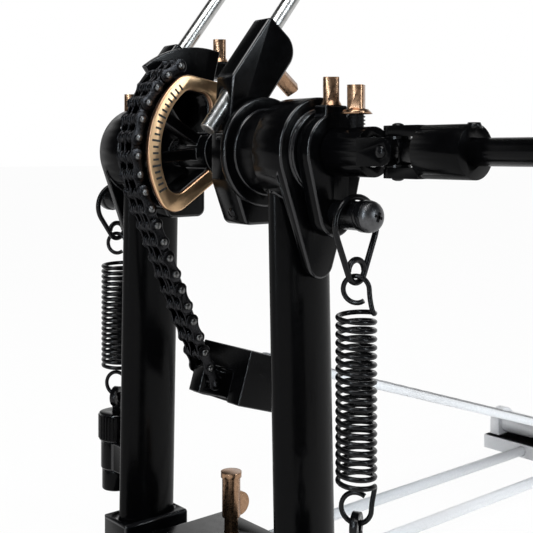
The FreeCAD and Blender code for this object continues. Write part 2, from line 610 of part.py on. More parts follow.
def link_plate(x, length):
    """A waisted plate between two pins on the Y axis."""
    half = mm("link_height") / 2
    ends = [Vector(x, 0, -half), Vector(x, length, -half), Vector(x, length, half), Vector(x, 0, half)]
    waist = mm("link_waist")
    edges = [Part.Arc(ends[0], Vector(x, length / 2, -waist), ends[1]).toShape(),
             Part.Arc(ends[1], Vector(x, length + half, 0), ends[2]).toShape(),
             Part.Arc(ends[2], Vector(x, length / 2, waist), ends[3]).toShape(),
             Part.Arc(ends[3], Vector(x, -half, 0), ends[0]).toShape()]
    face = Part.Face(Part.Wire(edges))
    face.translate(Vector(-mm("link_plate") / 2, 0, 0))
    return face.extrude(Vector(mm("link_plate"), 0, 0))


STRAND_X = mm("roller_length") / 2 + 1.5 * mm("link_plate") + mm("link_gap")
SIDE_X = 2 * STRAND_X
PIN_LENGTH = 2 * SIDE_X + mm("link_plate") + 2 * mm("pin_stand")


def outer_link():
    """Three plates on two pins."""
    pitch = mm("chain_pitch")
    plates = [link_plate(x, pitch) for x in (-SIDE_X, 0, SIDE_X)]
    pins = [round_bar(0, y, PIN_LENGTH, mm("chain_pin") / 2) for y in (0, pitch)]
    return [plates[0].multiFuse(plates[1:] + pins).removeSplitter()]


def end_link():
    """Two long plates that straddle the toe lug, with a rivet in the middle of each."""
    pitch = mm("chain_pitch")
    plates = []
    for x in (-SIDE_X, SIDE_X):
        plates += [link_plate(x, pitch), link_plate(x, pitch)]
        plates[-1].translate(Vector(0, pitch, 0))
    pins = [round_bar(0, y, PIN_LENGTH, mm("chain_pin") / 2) for y in (0, 2 * pitch)]
    stand = mm("pin_stand") + mm("link_plate")
    rivet_x = (PIN_LENGTH - stand) / 2
    rivets = [round_bar(x, pitch, stand, mm("chain_pin") / 2) for x in (-rivet_x, rivet_x)]
    return [plates[0].multiFuse(plates[1:] + pins + rivets).removeSplitter()]


def inner_link():
    """One roller block for each strand of the chain."""
    pitch = mm("chain_pitch")
    blocks = []
    for strand in (-STRAND_X, STRAND_X):
        side = (mm("roller_length") + mm("link_plate")) / 2
        bore = mm("chain_pin") / 2 + mm("running_gap")
        rollers = [round_bar(strand, y, mm("roller_length"), mm("roller_diameter") / 2) for y in (0, pitch)]
        bores = [round_bar(strand, y, 2 * PIN_LENGTH, bore) for y in (0, pitch)]
        block = link_plate(strand - side, pitch).multiFuse([link_plate(strand + side, pitch)] + rollers)
        blocks.append(block.cut(Part.makeCompound(bores)).removeSplitter())
    return blocks


OUTER = outer_link()
INNER = inner_link()
END_LINK = end_link()
LAST_LINK = WRAP_LINKS + FREE_LINKS - 2


def link(number, x):
    """Chain link between a pin and the one before it. Odd links hold the pins, even ones the rollers."""
    start, end = pin_place(number - 1), pin_place(number)
    angle = math.degrees(math.atan2(end[1] - start[1], end[0] - start[0]))
    pattern = END_LINK if number > LAST_LINK else OUTER if number % 2 else INNER
    solids = []
    for solid in pattern:
        copy = solid.copy()
        copy.Placement = Placement(Vector(x, start[0], start[1]), Rotation(X_AXIS, angle))
        solids.append(copy)
    return solids


def run_of_links(label, first, last, x):
    made(label, [solid for number in range(first, last + 1) for solid in link(number, x)])


CHAIN_X = mm("chain_x")
SLAVE_CHAIN_X = mm("slave_x") + mm("chain_x")
FIRST_FREE = WRAP_LINKS - UNWRAP_LINKS + 1
run_of_links("chain_wrap", 1, FIRST_FREE - 1, CHAIN_X)
for step in range(UNWRAP_LINKS):
    run_of_links(f"chain_link_{step + 1}", FIRST_FREE + step, FIRST_FREE + step, CHAIN_X)
run_of_links("chain_strand", WRAP_LINKS + 1, LAST_LINK + 1, CHAIN_X)
run_of_links("slave_chain_wrap", 1, FIRST_FREE - 1, SLAVE_CHAIN_X)
for step in range(UNWRAP_LINKS // 2):
    start = FIRST_FREE + 2 * step
    run_of_links(f"slave_chain_link_{step + 1}", start, start + 1, SLAVE_CHAIN_X)
run_of_links("slave_chain_strand", WRAP_LINKS + 1, LAST_LINK + 1, SLAVE_CHAIN_X)


# Beater holders, rods and heads. The arm, rod and head are drawn upright and then leaned back.
def holder(name, rod_x, block_x, top, pinched):
    """An arm that clamps the rod, on a block that clamps the shaft."""
    arm_plate = plate(name + "_arm_plate", "YZ_Plane",
                      [("holder_back", "-rod_tail"), ("holder_toe", "-rod_tail"),
                       ("holder_front", "holder_step"), ("holder_front", top), ("holder_back", top)],
                      "holder_thickness",
                      [((4,), "holder_round"), ((3,), "holder_edge")])
    arm = lean(join(name + "_arm", arm_plate,
                    box(name + "_arm_root", ("0", "(holder_back + holder_toe) / 2", "0"),
                        ("holder_thickness", "holder_toe - holder_back", "2 * rod_tail"))),
               rod_x, "0", AXIS_Z, "beater_lean")
    block = plate(name + "_block", "YZ_Plane",
                  [("-block_depth / 2", "-block_bottom"), ("block_toe", "-block_bottom"),
                   ("block_depth / 2", "-block_chamfer"), ("block_depth / 2", "block_top"),
                   ("-block_depth / 2", "block_top")], "block_width", [((0, 1, 2, 3, 4), "block_round")])
    put(block, (block_x, "0", AXIS_Z))
    shoulder = box(name + "_shoulder", (rod_x, "block_depth / 4", f"{AXIS_Z} + holder_shoulder / 2"),
                   ("holder_thickness", "block_depth / 2", "holder_shoulder"))
    solids = [arm, block, shoulder]
    bore = "rod_diameter / 2 + running_gap"
    way = bar(name + "_rod_bore", "z", ("0", "rod_offset", f"{top} / 2"), bore, f"4 * {top}")
    thread = "bolt_thread / 2 + fit_gap"
    if pinched:
        pinch = bar(name + "_pinch", "y", ("0", "rod_offset / 2", "pinch_height"), thread, "rod_offset")
        ways = lean(join(name + "_ways", way, pinch), rod_x, "0", AXIS_Z, "beater_lean")
    else:
        rod_end = bar(name + "_rod_end", "z", ("0", "rod_offset", "0"), bore, top)
        ways = lean(join(name + "_ways", way, rod_end), rod_x, "0", AXIS_Z, "beater_lean")
        lug_z = f"{AXIS_Z} + lug_bolt_z - lug_size / 2"
        solids.append(box(name + "_lug", ("lug_bolt_x", "-lug_bolt_y + lug_reach / 2 - bolt_thread", lug_z),
                          ("lug_size", "lug_reach", "lug_size")))
    hub = bar(name + "_hub", "x", (block_x, "0", AXIS_Z), "shaft_diameter / 2 + fit_gap", "4 * block_width")
    cuts = [hub, ways]
    if not pinched:
        lug_top = ("lug_bolt_x", "-lug_bolt_y", f"{AXIS_Z} + lug_bolt_z")
        cuts.append(bar(name + "_lug_thread", "z", lug_top, thread, "2 * lug_size"))
    return trim(name, join(name + "_blank", *solids), *cuts)


def rod(name, rod_x):
    """A chromed rod with a round lower end."""
    stem = bar(name + "_bar", "z", ("0", "rod_offset", "rod_length / 2 - rod_tail"),
               "rod_diameter / 2", "rod_length")
    end = ball(name + "_end", ("0", "rod_offset", "-rod_tail"), "rod_diameter / 2")
    return lean(join(name, stem, end), rod_x, "0", AXIS_Z, "beater_lean")


def head(name, rod_x):
    """A felt head with rounded faces on the rod's top end."""
    middle = ("0", "rod_offset", "head_height")
    drum = bar(name + "_drum", "y", middle, "head_radius", "head_length - 2 * head_round")
    taper = ("head_radius", "head_radius - head_round", "head_round")
    face = "rod_offset + head_length / 2 - head_round"
    front = cone(name + "_front", "y", ("0", face, "head_height"), *taper)
    back = cone(name + "_back", "y", middle, *taper)
    put(back, ("0", "rod_offset - head_length / 2 + head_round", "head_height"), Rotation(X_AXIS, 90))
    top = "(rod_length - rod_tail + nut_gap)"
    way = bar(name + "_way", "z", ("0", "rod_offset", f"{top} / 2"), "rod_diameter / 2 + fit_gap", top)
    return lean(trim(name, join(name + "_blank", drum, front, back), way), rod_x, "0", AXIS_Z, "beater_lean")


LEFT_BLOCK_X = "-(left_rod_x - left_block_shift)"
RIGHT_BLOCK_X = "(right_rod_x - right_block_shift)"
node(holder("secondary_holder_body", "-left_rod_x", LEFT_BLOCK_X, "left_holder_top", pinched=True),
     "secondary_beater_holder")
node(rod("secondary_rod_body", "-left_rod_x"), "secondary_rod")
node(head("secondary_head_body", "-left_rod_x"), "secondary_beater")
node(holder("primary_holder_body", "right_rod_x", RIGHT_BLOCK_X, "right_holder_top", pinched=False),
     "primary_beater_holder")
node(rod("primary_rod_body", "right_rod_x"), "primary_rod")
node(head("primary_head_body", "right_rod_x"), "primary_beater")


# Spring rockers, their screws and their clamp bolts.
def rocker(name, sign):
    x = f"{sign} * {ROCKER_X}"
    slope = "asin((rocker_radius - lobe_radius) / rocker_drop)"
    side_y, side_z = f"cos({slope})", f"sin({slope})"
    web = plate(name + "_web", "YZ_Plane",
                [(f"-rocker_radius * {side_y}", f"-rocker_radius * {side_z}"),
                 (f"-lobe_radius * {side_y}", f"-rocker_drop - lobe_radius * {side_z}"),
                 (f"lobe_radius * {side_y}", f"-rocker_drop - lobe_radius * {side_z}"),
                 (f"rocker_radius * {side_y}", f"-rocker_radius * {side_z}")], "rocker_thickness")
    put(web, (x, "0", AXIS_Z))
    lobe = (x, "0", f"{AXIS_Z} - rocker_drop")
    blank = join(name + "_blank", web,
                 bar(name + "_hub", "x", (x, "0", AXIS_Z), "rocker_radius", "rocker_thickness"),
                 bar(name + "_lobe", "x", lobe, "lobe_radius", "rocker_thickness"),
                 box(name + "_boss", (x, "0", f"{AXIS_Z} + rocker_boss / 2"),
                     ("rocker_thickness", "rocker_boss_width", "rocker_boss")))
    return trim(name, blank,
                bar(name + "_bore", "x", (x, "0", AXIS_Z), "shaft_diameter / 2 + fit_gap",
                    "4 * rocker_thickness"),
                bar(name + "_thread", "z", (x, "0", f"{AXIS_Z} + rocker_boss"), "bolt_thread / 2 + fit_gap",
                    "2 * (rocker_boss - shaft_diameter / 2)"),
                bar(name + "_stud_hole", "x", lobe, "stud / 2 + fit_gap", "4 * rocker_thickness"))


def spring_screw(name, sign):
    """A screw into the rocker's lobe, with a bushing for the wire link under its head."""
    z = f"{AXIS_Z} - rocker_drop"
    bushing_x = f"{sign} * ({ROCKER_FACE} + bushing_length / 2)"
    head_x = f"{sign} * ({ROCKER_FACE} + bushing_length + screw_head_height / 2)"
    stud = bar(name + "_stud", "x", (f"{sign} * {ROCKER_X}", "0", z), "stud / 2", "rocker_thickness")
    return join(name, stud,
                bar(name + "_bushing", "x", (bushing_x, "0", z), "bushing_radius", "bushing_length"),
                bar(name + "_head", "x", (head_x, "0", z), "screw_head / 2", "screw_head_height"))


def key_bolt(name, x, y, foot, seat, flange="bolt_flange", turn="bolt_turn"):
    """A square-headed drum-key bolt on a vertical line, from its thread's foot up to its seat."""
    thread = bar(name + "_thread", "z", (x, y, f"({foot} + {seat}) / 2"),
                 "bolt_thread / 2", f"{seat} - ({foot})")
    rim = cone(name + "_flange", "z", (x, y, seat), f"{flange} / 2", "bolt_square / 2", "bolt_flange_height")
    top = square(name + "_square", (x, y, seat), "bolt_square", "bolt_head", turn)
    corners = bar(name + "_corners", "z", (x, y, f"{seat} + bolt_head / 2"), "bolt_corner / 2", "bolt_head")
    return join(name, thread, rim, common(name + "_head", top, corners))


BOLT_FOOT = f"({AXIS_Z} + shaft_diameter / 2 + nut_gap)"
ROCKER_SEAT = f"({AXIS_Z} + rocker_boss)"
YOKE_BOLT_X = f"({ROCKER_FACE} + yoke_gap + yoke_hub / 2)"
YOKE_SEAT = f"({AXIS_Z} + yoke_bolt_seat)"
node(rocker("left_rocker_body", "-1"), "left_rocker")
node(rocker("right_rocker_body", "1"), "right_rocker")
node(spring_screw("left_screw_body", "-1"), "left_spring_screw")
node(spring_screw("right_screw_body", "1"), "right_spring_screw")
PINCH_FOOT = "(rod_diameter / 2 + running_gap - rod_offset + nut_gap)"
pinch_bolt = key_bolt("left_pinch_bolt", "0", "pinch_height", PINCH_FOOT, "-holder_back")
lean(pinch_bolt, "-left_rod_x", "0", AXIS_Z, "beater_lean + 90")
LUG_SEAT = f"({AXIS_Z} + lug_bolt_z)"
group("secondary_clamp_bolts", key_bolt("left_rocker_bolt", f"-{ROCKER_X}", "0", BOLT_FOOT, ROCKER_SEAT),
      key_bolt("left_yoke_bolt", f"-{YOKE_BOLT_X}", "0", BOLT_FOOT, YOKE_SEAT, "yoke_bolt_flange",
               "yoke_bolt_turn"), pinch_bolt)
group("primary_clamp_bolts", key_bolt("right_rocker_bolt", ROCKER_X, "0", BOLT_FOOT, ROCKER_SEAT),
      key_bolt("right_lug_bolt", "lug_bolt_x", "-lug_bolt_y", f"({LUG_SEAT} - lug_size + nut_gap)", LUG_SEAT))


# Wire links and extension springs.
def biarc(start, start_way, end, end_way):
    """Two tangent arcs that join two points with given directions."""
    gap = end - start
    total = start_way + end_way
    turn = 2 * (1 - start_way.dot(end_way))
    along = gap.dot(total)
    reach = (-along + math.sqrt(along ** 2 + turn * gap.dot(gap))) / turn
    corners = (start + start_way * reach, end - end_way * reach)
    middle = (corners[0] + corners[1]) * 0.5
    arcs = []
    for first, corner, last in ((start, corners[0], middle), (middle, corners[1], end)):
        chord = (first + last) * 0.5
        height = (corner - chord).Length
        half = (first - chord).Length
        radius = reach * half / height
        sag = radius - math.sqrt(radius ** 2 - half ** 2)
        arcs.append(Part.Arc(first, chord + (corner - chord) * (sag / height), last).toShape())
    return arcs


def tube(stations, diameter):
    """A round wire along biarcs through points with directions."""
    edges = []
    for (start, start_way), (end, end_way) in zip(stations, stations[1:]):
        edges += biarc(start, start_way, end, end_way)
    path = Part.Wire(edges)
    first, way = stations[0]
    section = Part.Wire(Part.Circle(first, way, diameter / 2).toShape())
    return path.makePipeShell([section], True, False), path


def least_gap(path, diameter):
    """The smallest clear distance between stretches of one wire that aren't next to each other."""
    step = diameter / 2
    points = path.discretize(Number=int(path.Length / step))
    skip = int(2.5 * math.pi * diameter / step)
    pairs = [(i, j) for i in range(len(points)) for j in range(i + skip, len(points))]
    least = min((points[i] - points[j]).Length for i, j in pairs)
    return least - diameter


def spring(label, sign, word):
    """An extension spring with a round hook at each end, in the plane across the drum's axis."""
    x, shaft, wire = sign * mm("spring_x"), mm("shaft_height"), mm("spring_wire")
    radius = (mm("spring_outer") - wire) / 2
    hook = mm("hook_radius")
    eye = mm("socket_height") + mm(word + "_lug_rise") + mm("lug_height") + mm(word + "_eye_rise")
    top = shaft - mm(word + "_coil_top") - wire / 2
    low = eye + mm("hook_reach") + 2 * hook + wire + wire / 2
    high_bar = shaft - mm("link_low_drop") - mm("link_low_radius")
    crest = high_bar + mm("link_wire") / 2 + mm("hook_gap") + wire / 2
    turn_count = round((top - low) / mm(word + "_pitch"))
    pitch = (top - low) / turn_count
    centre = Vector(x, 0, 0)

    def coil(angle):
        """Point and direction on the winding, by the angle wound from its top."""
        slant = Vector(-radius * math.sin(angle), radius * math.cos(angle), -pitch / (2 * math.pi))
        height = top - pitch * angle / (2 * math.pi)
        place = Vector(radius * math.cos(angle), radius * math.sin(angle), height)
        return centre + place, slant.normalize()

    def loop(height, up):
        """The hook's stations, from the end of the wire to the winding."""
        middle = height - up * hook
        return [(centre + Vector(-hook * 0.8, 0, middle - up * hook * 0.6), Vector(-0.6, 0, 0.8 * up)),
                (centre + Vector(-hook, 0, middle), Vector(0, 0, up)),
                (centre + Vector(0, 0, height), Vector(1, 0, 0)),
                (centre + Vector(hook, 0, middle), Vector(0, 0, -up))]

    low_crest = eye + mm("eye_hole") - wire / 2 - 2 * mm("hook_gap")
    turns = [coil(2 * math.pi * quarter / 4) for quarter in range(4 * turn_count + 1)]
    tail = [(place, Vector(-way.x, -way.y, -way.z)) for place, way in reversed(loop(low_crest, -1))]
    wire_solid, path = tube(loop(crest, 1) + turns + tail, wire)
    print(label, "least gap", round(least_gap(path, wire), 2), "length", round(path.Length, 1))
    return made(label, [wire_solid])


def wire_link(label, sign):
    """A teardrop of wire that hangs on the screw's bushing and carries the spring."""
    x, shaft = sign * mm("spring_x"), mm("shaft_height")
    big, small = mm("link_top_radius"), mm("link_low_radius")
    top, low = shaft - mm("link_top_drop"), shaft - mm("link_low_drop")
    slope = math.asin((big - small) / (top - low))
    side, drop = math.cos(slope), math.sin(slope)
    right = [Vector(x, big * side, top - big * drop), Vector(x, small * side, low - small * drop)]
    left = [Vector(x, -point.y, point.z) for point in right]
    edges = [Part.Arc(left[0], Vector(x, 0, top + big), right[0]).toShape(),
             Part.LineSegment(right[0], right[1]).toShape(),
             Part.Arc(right[1], Vector(x, 0, low - small), left[1]).toShape(),
             Part.LineSegment(left[1], left[0]).toShape()]
    path = Part.Wire(edges)
    section = Part.Wire(Part.Circle(left[0], Vector(0, -drop, side), mm("link_wire") / 2).toShape())
    return made(label, [path.makePipeShell([section], True, False)])


wire_link("left_spring_link", -1)
wire_link("right_spring_link", 1)
spring("left_spring", -1, "left")
spring("right_spring", 1, "right")


# Tension bolts: an eye for the spring, a stem through the post's lug, a knob above and a lock nut below.
def tension_bolt(name, sign, lug_rise, eye_rise):
    x = f"{sign} * spring_x"
    eye_z = f"(socket_height + {lug_rise} + lug_height + {eye_rise})"
    low = f"(socket_height + {lug_rise} - nut_gap - lock_height)"
    stem_top = f"({eye_z} - eye_hole)"
    eye = bar(name + "_eye", "x", (x, "0", eye_z), "eye_radius", "eye_thickness")
    stem = bar(name + "_stem", "z", (x, "0", f"({stem_top} + {low}) / 2"),
               "tension_bolt / 2", f"{stem_top} - {low}")
    blank = join(name + "_blank", eye, stem)
    return trim(name, blank, bar(name + "_hole", "x", (x, "0", eye_z), "eye_hole", "4 * eye_thickness"))


def nut(name, sign, lug_rise, side, radius, height):
    """A knurled knob above the lug, or a lock nut below it."""
    z = f"{lug_middle(lug_rise)} + {side} * (lug_height / 2 + nut_gap + {height} / 2)"
    at = (f"{sign} * spring_x", "0", z)
    return trim(name, bar(name + "_disc", "z", at, radius, height),
                bar(name + "_thread", "z", at, "tension_bolt / 2 + running_gap", f"2 * {height}"))


tension_bolts = []
tension_nuts = []
for word, sign in (("left", "-1"), ("right", "1")):
    rise = f"{word}_lug_rise"
    tension_bolts.append(tension_bolt(f"{word}_tension_body", sign, rise, f"{word}_eye_rise"))
    tension_nuts.append(nut(f"{word}_knob", sign, rise, "1", "knob_radius", "knob_height"))
    tension_nuts.append(nut(f"{word}_lock_nut", sign, rise, "-1", "lock_radius", "lock_height"))
group("tension_bolts", *tension_bolts)
group("tension_nuts", *tension_nuts)


# Universal joints and the telescopic drive shaft. Each yoke's arms straddle the cross.
def yoke_arms(name, x, sign, axis, root):
    """Two flat arms with round eyes, either side of the shaft line along an axis, from a root beside it."""
    solids = []
    thickness = "(yoke_radius - yoke_slot / 2)"
    length = f"abs(cross_reach - {root})"
    middle_x = f"{x} - {sign} * (cross_reach - {root}) / 2"
    for word, side in SIDES:
        offset = f"{side} * (yoke_slot / 2 + yoke_radius) / 2"
        shift = (offset, AXIS_Z) if axis == "y" else ("0", f"{AXIS_Z} + {offset}")
        across = (thickness, "yoke_arm_width") if axis == "y" else ("yoke_arm_width", thickness)
        solids.append(box(f"{name}_arm_{word}", (middle_x, *shift), (length, *across)))
        solids.append(bar(f"{name}_eye_{word}", axis, (x, *shift), "yoke_arm_width / 2", thickness))
    return solids


def hub_yoke(name, centre, sign, start):
    """A yoke on a pedal's shaft, with its arms to the front and back."""
    x = f"{centre} + {sign} * cross_reach"
    hub_end = f"({start} + yoke_hub)"
    hub_x = f"{centre} + {sign} * ({start} + yoke_hub / 2)"
    hub = bar(name + "_hub", "x", (hub_x, "0", AXIS_Z), "yoke_radius", "yoke_hub")
    pin = bar(name + "_pin_hole", "y", (x, "0", AXIS_Z), "cross_pin / 2 + fit_gap", "4 * yoke_radius")
    bore = bar(name + "_bore", "x", (f"{centre} + {sign} * {start}", "0", AXIS_Z),
               "shaft_diameter / 2 + fit_gap", "2 * yoke_hub")
    return [hub, *yoke_arms(name, x, sign, "y", hub_end)], [pin, bore]


def drive_yoke(name, centre, sign):
    """A yoke on the drive shaft, with its arms above and below."""
    x = f"{centre} + {sign} * cross_reach"
    throat = "(cross_reach + yoke_throat)"
    body_x = f"{centre} + {sign} * ({throat} + drive_yoke_reach) / 2"
    body = bar(name + "_body", "x", (body_x, "0", AXIS_Z), "yoke_radius", f"drive_yoke_reach - {throat}")
    pin = bar(name + "_pin_hole", "z", (x, "0", AXIS_Z), "cross_pin / 2 + fit_gap", "4 * yoke_radius")
    return [body, *yoke_arms(name, x, sign, "z", throat)], pin


def cross(name, x):
    length = "2 * (yoke_radius + rivet_stand)"
    return join(name, box(name + "_block", (x, "0", AXIS_Z), ("cross_block", "cross_block", "cross_block")),
                bar(name + "_pin_y", "y", (x, "0", AXIS_Z), "cross_pin / 2", length),
                bar(name + "_pin_z", "z", (x, "0", AXIS_Z), "cross_pin / 2", length))


YOKE_START = f"({ROCKER_FACE} + yoke_gap)"
hub_solids, hub_cuts = hub_yoke("left_yoke", "0", "-1", YOKE_START)
hub_cuts.append(bar("left_yoke_thread", "z", (f"-{YOKE_BOLT_X}", "0", f"{AXIS_Z} + yoke_radius"),
                    "bolt_thread / 2 + fit_gap", "2 * (yoke_radius - shaft_diameter / 2)"))
node(trim("left_yoke_body", join("left_yoke_blank", *hub_solids), *hub_cuts), "shaft_yoke")
slave_hub_solids, slave_hub_cuts = hub_yoke("slave_yoke", "slave_x", "1", YOKE_START)
node(trim("slave_yoke_body", join("slave_yoke_blank", *slave_hub_solids), *slave_hub_cuts), "slave_yoke")
node(cross("right_cross_body", "-cross_reach"), "right_joint_cross")
node(cross("left_cross_body", "slave_x + cross_reach"), "left_joint_cross")

ROD_START = "(cross_reach + 2 * yoke_throat)"
yoke_solids, yoke_pin = drive_yoke("right_drive_yoke", "0", "-1")
node(trim("right_drive_yoke_body", join("right_drive_yoke_blank", *yoke_solids), yoke_pin,
          bar("right_drive_yoke_socket", "x", ("-drive_yoke_reach", "0", AXIS_Z), "drive_rod / 2 + fit_gap",
              f"2 * (drive_yoke_reach - {ROD_START})")), "right_drive_yoke")
node(bar("drive_rod_bar", "x", (f"-({ROD_START} + drive_rod_end) / 2", "0", AXIS_Z), "drive_rod / 2",
         f"drive_rod_end - {ROD_START}"), "drive_rod")
sleeve_solids, sleeve_pin = drive_yoke("left_drive_yoke", "slave_x", "1")
sleeve_middle = ("slave_x + drive_yoke_reach + sleeve_length / 2", "0", AXIS_Z)
sleeve_solids.append(bar("left_drive_sleeve", "x", sleeve_middle, "sleeve_radius", "sleeve_length"))
SLEEVE_MOUTH = "(drive_yoke_reach + sleeve_length)"
node(trim("left_drive_yoke_body", join("left_drive_yoke_blank", *sleeve_solids), sleeve_pin,
          bar("left_drive_bore", "x", (f"slave_x + {SLEEVE_MOUTH}", "0", AXIS_Z),
              "drive_rod / 2 + running_gap", f"2 * ({SLEEVE_MOUTH} - {ROD_START})")), "drive_sleeve")


# Footboards and toe blocks, drawn flat from the hinge and then tilted up to the chain.
NOTCH_WIDTH = "(2 * (roller_length + 3 * link_plate + 2 * link_gap) + link_plate + 6 * pin_stand)"
NOTCH_DEPTH = "(toe_slot_length + 2 * link_height)"


def tilted(item, centre):
    """Tilt an item up from the heel hinge of a pedal."""
    return lean(item, f"{centre} + chain_x", "-heel_reach", "heel_height", BOARD_SLOPE)


def board_plate(name, thickness):
    """The board's outline, lying on the board's lower face."""
    board = plate(name, "XY_Plane",
                  [("-board_heel_width / 2", "knuckle_radius"), ("board_heel_width / 2", "knuckle_radius"),
                   ("board_toe_width / 2", BOARD_LENGTH), ("-board_toe_width / 2", BOARD_LENGTH)],
                  thickness, [((2, 3), "block_round")])
    return put(board, ("0", "0", f"board_lift + ({thickness}) / 2"))


def board_solids(name):
    board = board_plate(name + "_board", "board_thickness")
    knuckle = bar(name + "_knuckle", "x", ("0", "0", "0"), "knuckle_radius", "board_heel_width")
    web = box(name + "_web", ("0", "knuckle_radius", "board_lift + board_thickness / 2"),
              ("board_heel_width", "2 * knuckle_radius", "board_thickness"))
    return [board, knuckle, web], bar(name + "_bore", "x", ("0", "0", "0"), "hinge_pin / 2 + running_gap",
                                      "2 * board_heel_width")


def toe_solids(name):
    """The casting round the toe, with a slotted lug that holds the chain's end pin."""
    block = box(name + "_slab", ("0", f"{BOARD_LENGTH} + toe_lip - toe_depth / 2",
                                 "board_lift + (board_thickness - toe_height) / 2"),
                ("toe_width", "toe_depth", "toe_height + board_thickness"))
    pocket = board_plate(name + "_pocket", "board_thickness")
    start = f"({BOARD_LENGTH} + toe_lip - toe_depth / 2)"
    tip = f"({PIN_Y} + toe_slot_length / 2 + toe_lug_wall)"
    lug = box(name + "_lug", ("0", f"({start} + {tip}) / 2", "-toe_drop"),
              ("toe_lug", f"{tip} - {start}", "toe_slot_height + 2 * toe_lug_wall"))
    notch = box(name + "_notch", ("0", PIN_Y, "link_height - toe_height - toe_drop"),
                (NOTCH_WIDTH, NOTCH_DEPTH, "2 * toe_height"))
    slot = box(name + "_slot", ("0", PIN_Y, "-toe_drop"),
               ("4 * toe_lug", "toe_slot_length", "toe_slot_height"))
    return [trim(name + "_cleared", block, notch, pocket), lug], slot


board, bore = board_solids("primary_footboard")
primary_board = trim("primary_footboard_body", join("primary_footboard_blank", *board), bore)
node(tilted(primary_board, "0"), "primary_footboard")
toe, slot = toe_solids("primary_toe")
node(tilted(trim("primary_toe_body", join("primary_toe_blank", *toe), slot), "0"), "primary_toe_block")
board, bore = board_solids("slave_footboard")
toe, slot = toe_solids("slave_toe")
node(tilted(trim("slave_footboard_body", join("slave_footboard_blank", *board, *toe), bore, slot), "slave_x"),
     "slave_footboard")

doc.recompute()
for item in doc.Objects:
    if "Invalid" in item.State or "Error" in item.State:
        raise RuntimeError(f"{item.Name} failed: {item.State}")
for item in nodes:
    if item.Shape.isNull() or not item.Shape.isValid() or not item.Shape.Solids:
        raise RuntimeError(f"{item.Label} has no valid solid")

os.makedirs("parts", exist_ok=True)
for item in nodes:
    item.Shape.exportStep(f"parts/{item.Label}.step")
print(len(nodes), "sub-parts written")
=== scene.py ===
# %% [markdown]
# A double bass drum pedal: one pedal that carries two beaters, and a second, smaller one that works the left
# beater through a drive shaft. The imported model comes in first as a fixed frame in metres.

# %% Load the frame
import json
import math

import bmesh
import bpy
from mathutils import Matrix, Vector


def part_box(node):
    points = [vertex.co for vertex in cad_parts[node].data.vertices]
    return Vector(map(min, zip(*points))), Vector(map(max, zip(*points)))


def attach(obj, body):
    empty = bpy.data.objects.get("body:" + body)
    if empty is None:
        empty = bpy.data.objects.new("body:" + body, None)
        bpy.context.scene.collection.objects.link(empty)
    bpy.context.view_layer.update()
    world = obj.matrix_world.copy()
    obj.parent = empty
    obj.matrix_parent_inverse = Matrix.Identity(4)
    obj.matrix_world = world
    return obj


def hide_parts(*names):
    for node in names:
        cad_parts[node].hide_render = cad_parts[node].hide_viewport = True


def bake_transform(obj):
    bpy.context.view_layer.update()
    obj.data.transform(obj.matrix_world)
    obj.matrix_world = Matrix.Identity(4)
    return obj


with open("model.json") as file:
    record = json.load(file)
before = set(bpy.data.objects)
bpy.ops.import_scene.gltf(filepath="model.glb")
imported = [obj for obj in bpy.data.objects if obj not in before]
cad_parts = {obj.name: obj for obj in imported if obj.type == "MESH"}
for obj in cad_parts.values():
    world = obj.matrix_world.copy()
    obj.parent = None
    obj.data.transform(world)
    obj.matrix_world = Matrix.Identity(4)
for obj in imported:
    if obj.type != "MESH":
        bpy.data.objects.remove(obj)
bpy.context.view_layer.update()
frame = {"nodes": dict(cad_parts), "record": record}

record = frame["record"]
body_of = {node: body for body, nodes in record["behaviour"]["bodies"].items() for node in nodes}
slot_of = {part["node"]: part["material_slot"] for part in record["subparts"]}
joints = {joint["name"]: joint for joint in record["behaviour"]["joints"]}

# %% [markdown]
# The picture is taken from the drum's side, level with the beater shaft, so upright posts stay upright. It is
# a crop with its horizon well above the middle. Tilting the camera down would show that too, but the posts
# would lean, so the lens is shifted instead, as on a view camera.

# %% Camera
PHOTO = 533
FOCAL_PIXELS = 950
HORIZON_ROW = 152
SHAFT_HEIGHT = 0.205
CAMERA_PLACE = (-0.3472, 0.2623, SHAFT_HEIGHT)
CAMERA_TURN = math.radians(-130)
lens = bpy.data.cameras.new("photo_camera")
lens.sensor_width = 36
lens.lens = lens.sensor_width * FOCAL_PIXELS / PHOTO
lens.shift_y = (HORIZON_ROW - PHOTO / 2) / PHOTO
lens.clip_start = 0.02
camera = bpy.data.objects.new("photo_camera", lens)
camera.location = CAMERA_PLACE
camera.rotation_euler = (math.radians(90), 0, CAMERA_TURN)
bpy.context.scene.collection.objects.link(camera)
bpy.context.scene.camera = camera
print("camera", lens.lens, lens.shift_y)

# %% [markdown]
# The pedal stands in a white studio. Lamps strong enough to make the room white would wash out the pedal, so
# the room is white by the kind of ray instead: Light Path tells the camera's rays and mirrored ones from the
# rest. One helper gives that as a value, for the surround and for the floor.

# %% Kinds of ray
scene = bpy.context.scene
scene.view_settings.view_transform = "Standard"


def seen_directly(tree, mirrored=("Is Glossy Ray", "Is Transmission Ray")):
    """A value of 1 for rays from the camera and for the mirrored kinds, and 0 for the rest."""
    path = tree.nodes.new("ShaderNodeLightPath")
    total = path.outputs["Is Camera Ray"]
    for name in mirrored:
        highest = tree.nodes.new("ShaderNodeMath")
        highest.operation = "MAXIMUM"
        tree.links.new(total, highest.inputs[0])
        tree.links.new(path.outputs[name], highest.inputs[1])
        total = highest.outputs[0]
    return total


print("view transform", scene.view_settings.view_transform)

# %% [markdown]
# The surround is plain white to the camera. In reflections it is a white backdrop on the far side of the
# pedal and a dim room on the near side, so that black gloss stays black and bright metal has both light and
# dark in it. Matt surfaces get a softer grey light. White and dark cards round the pedal would do the same,
# but they would get into other views.

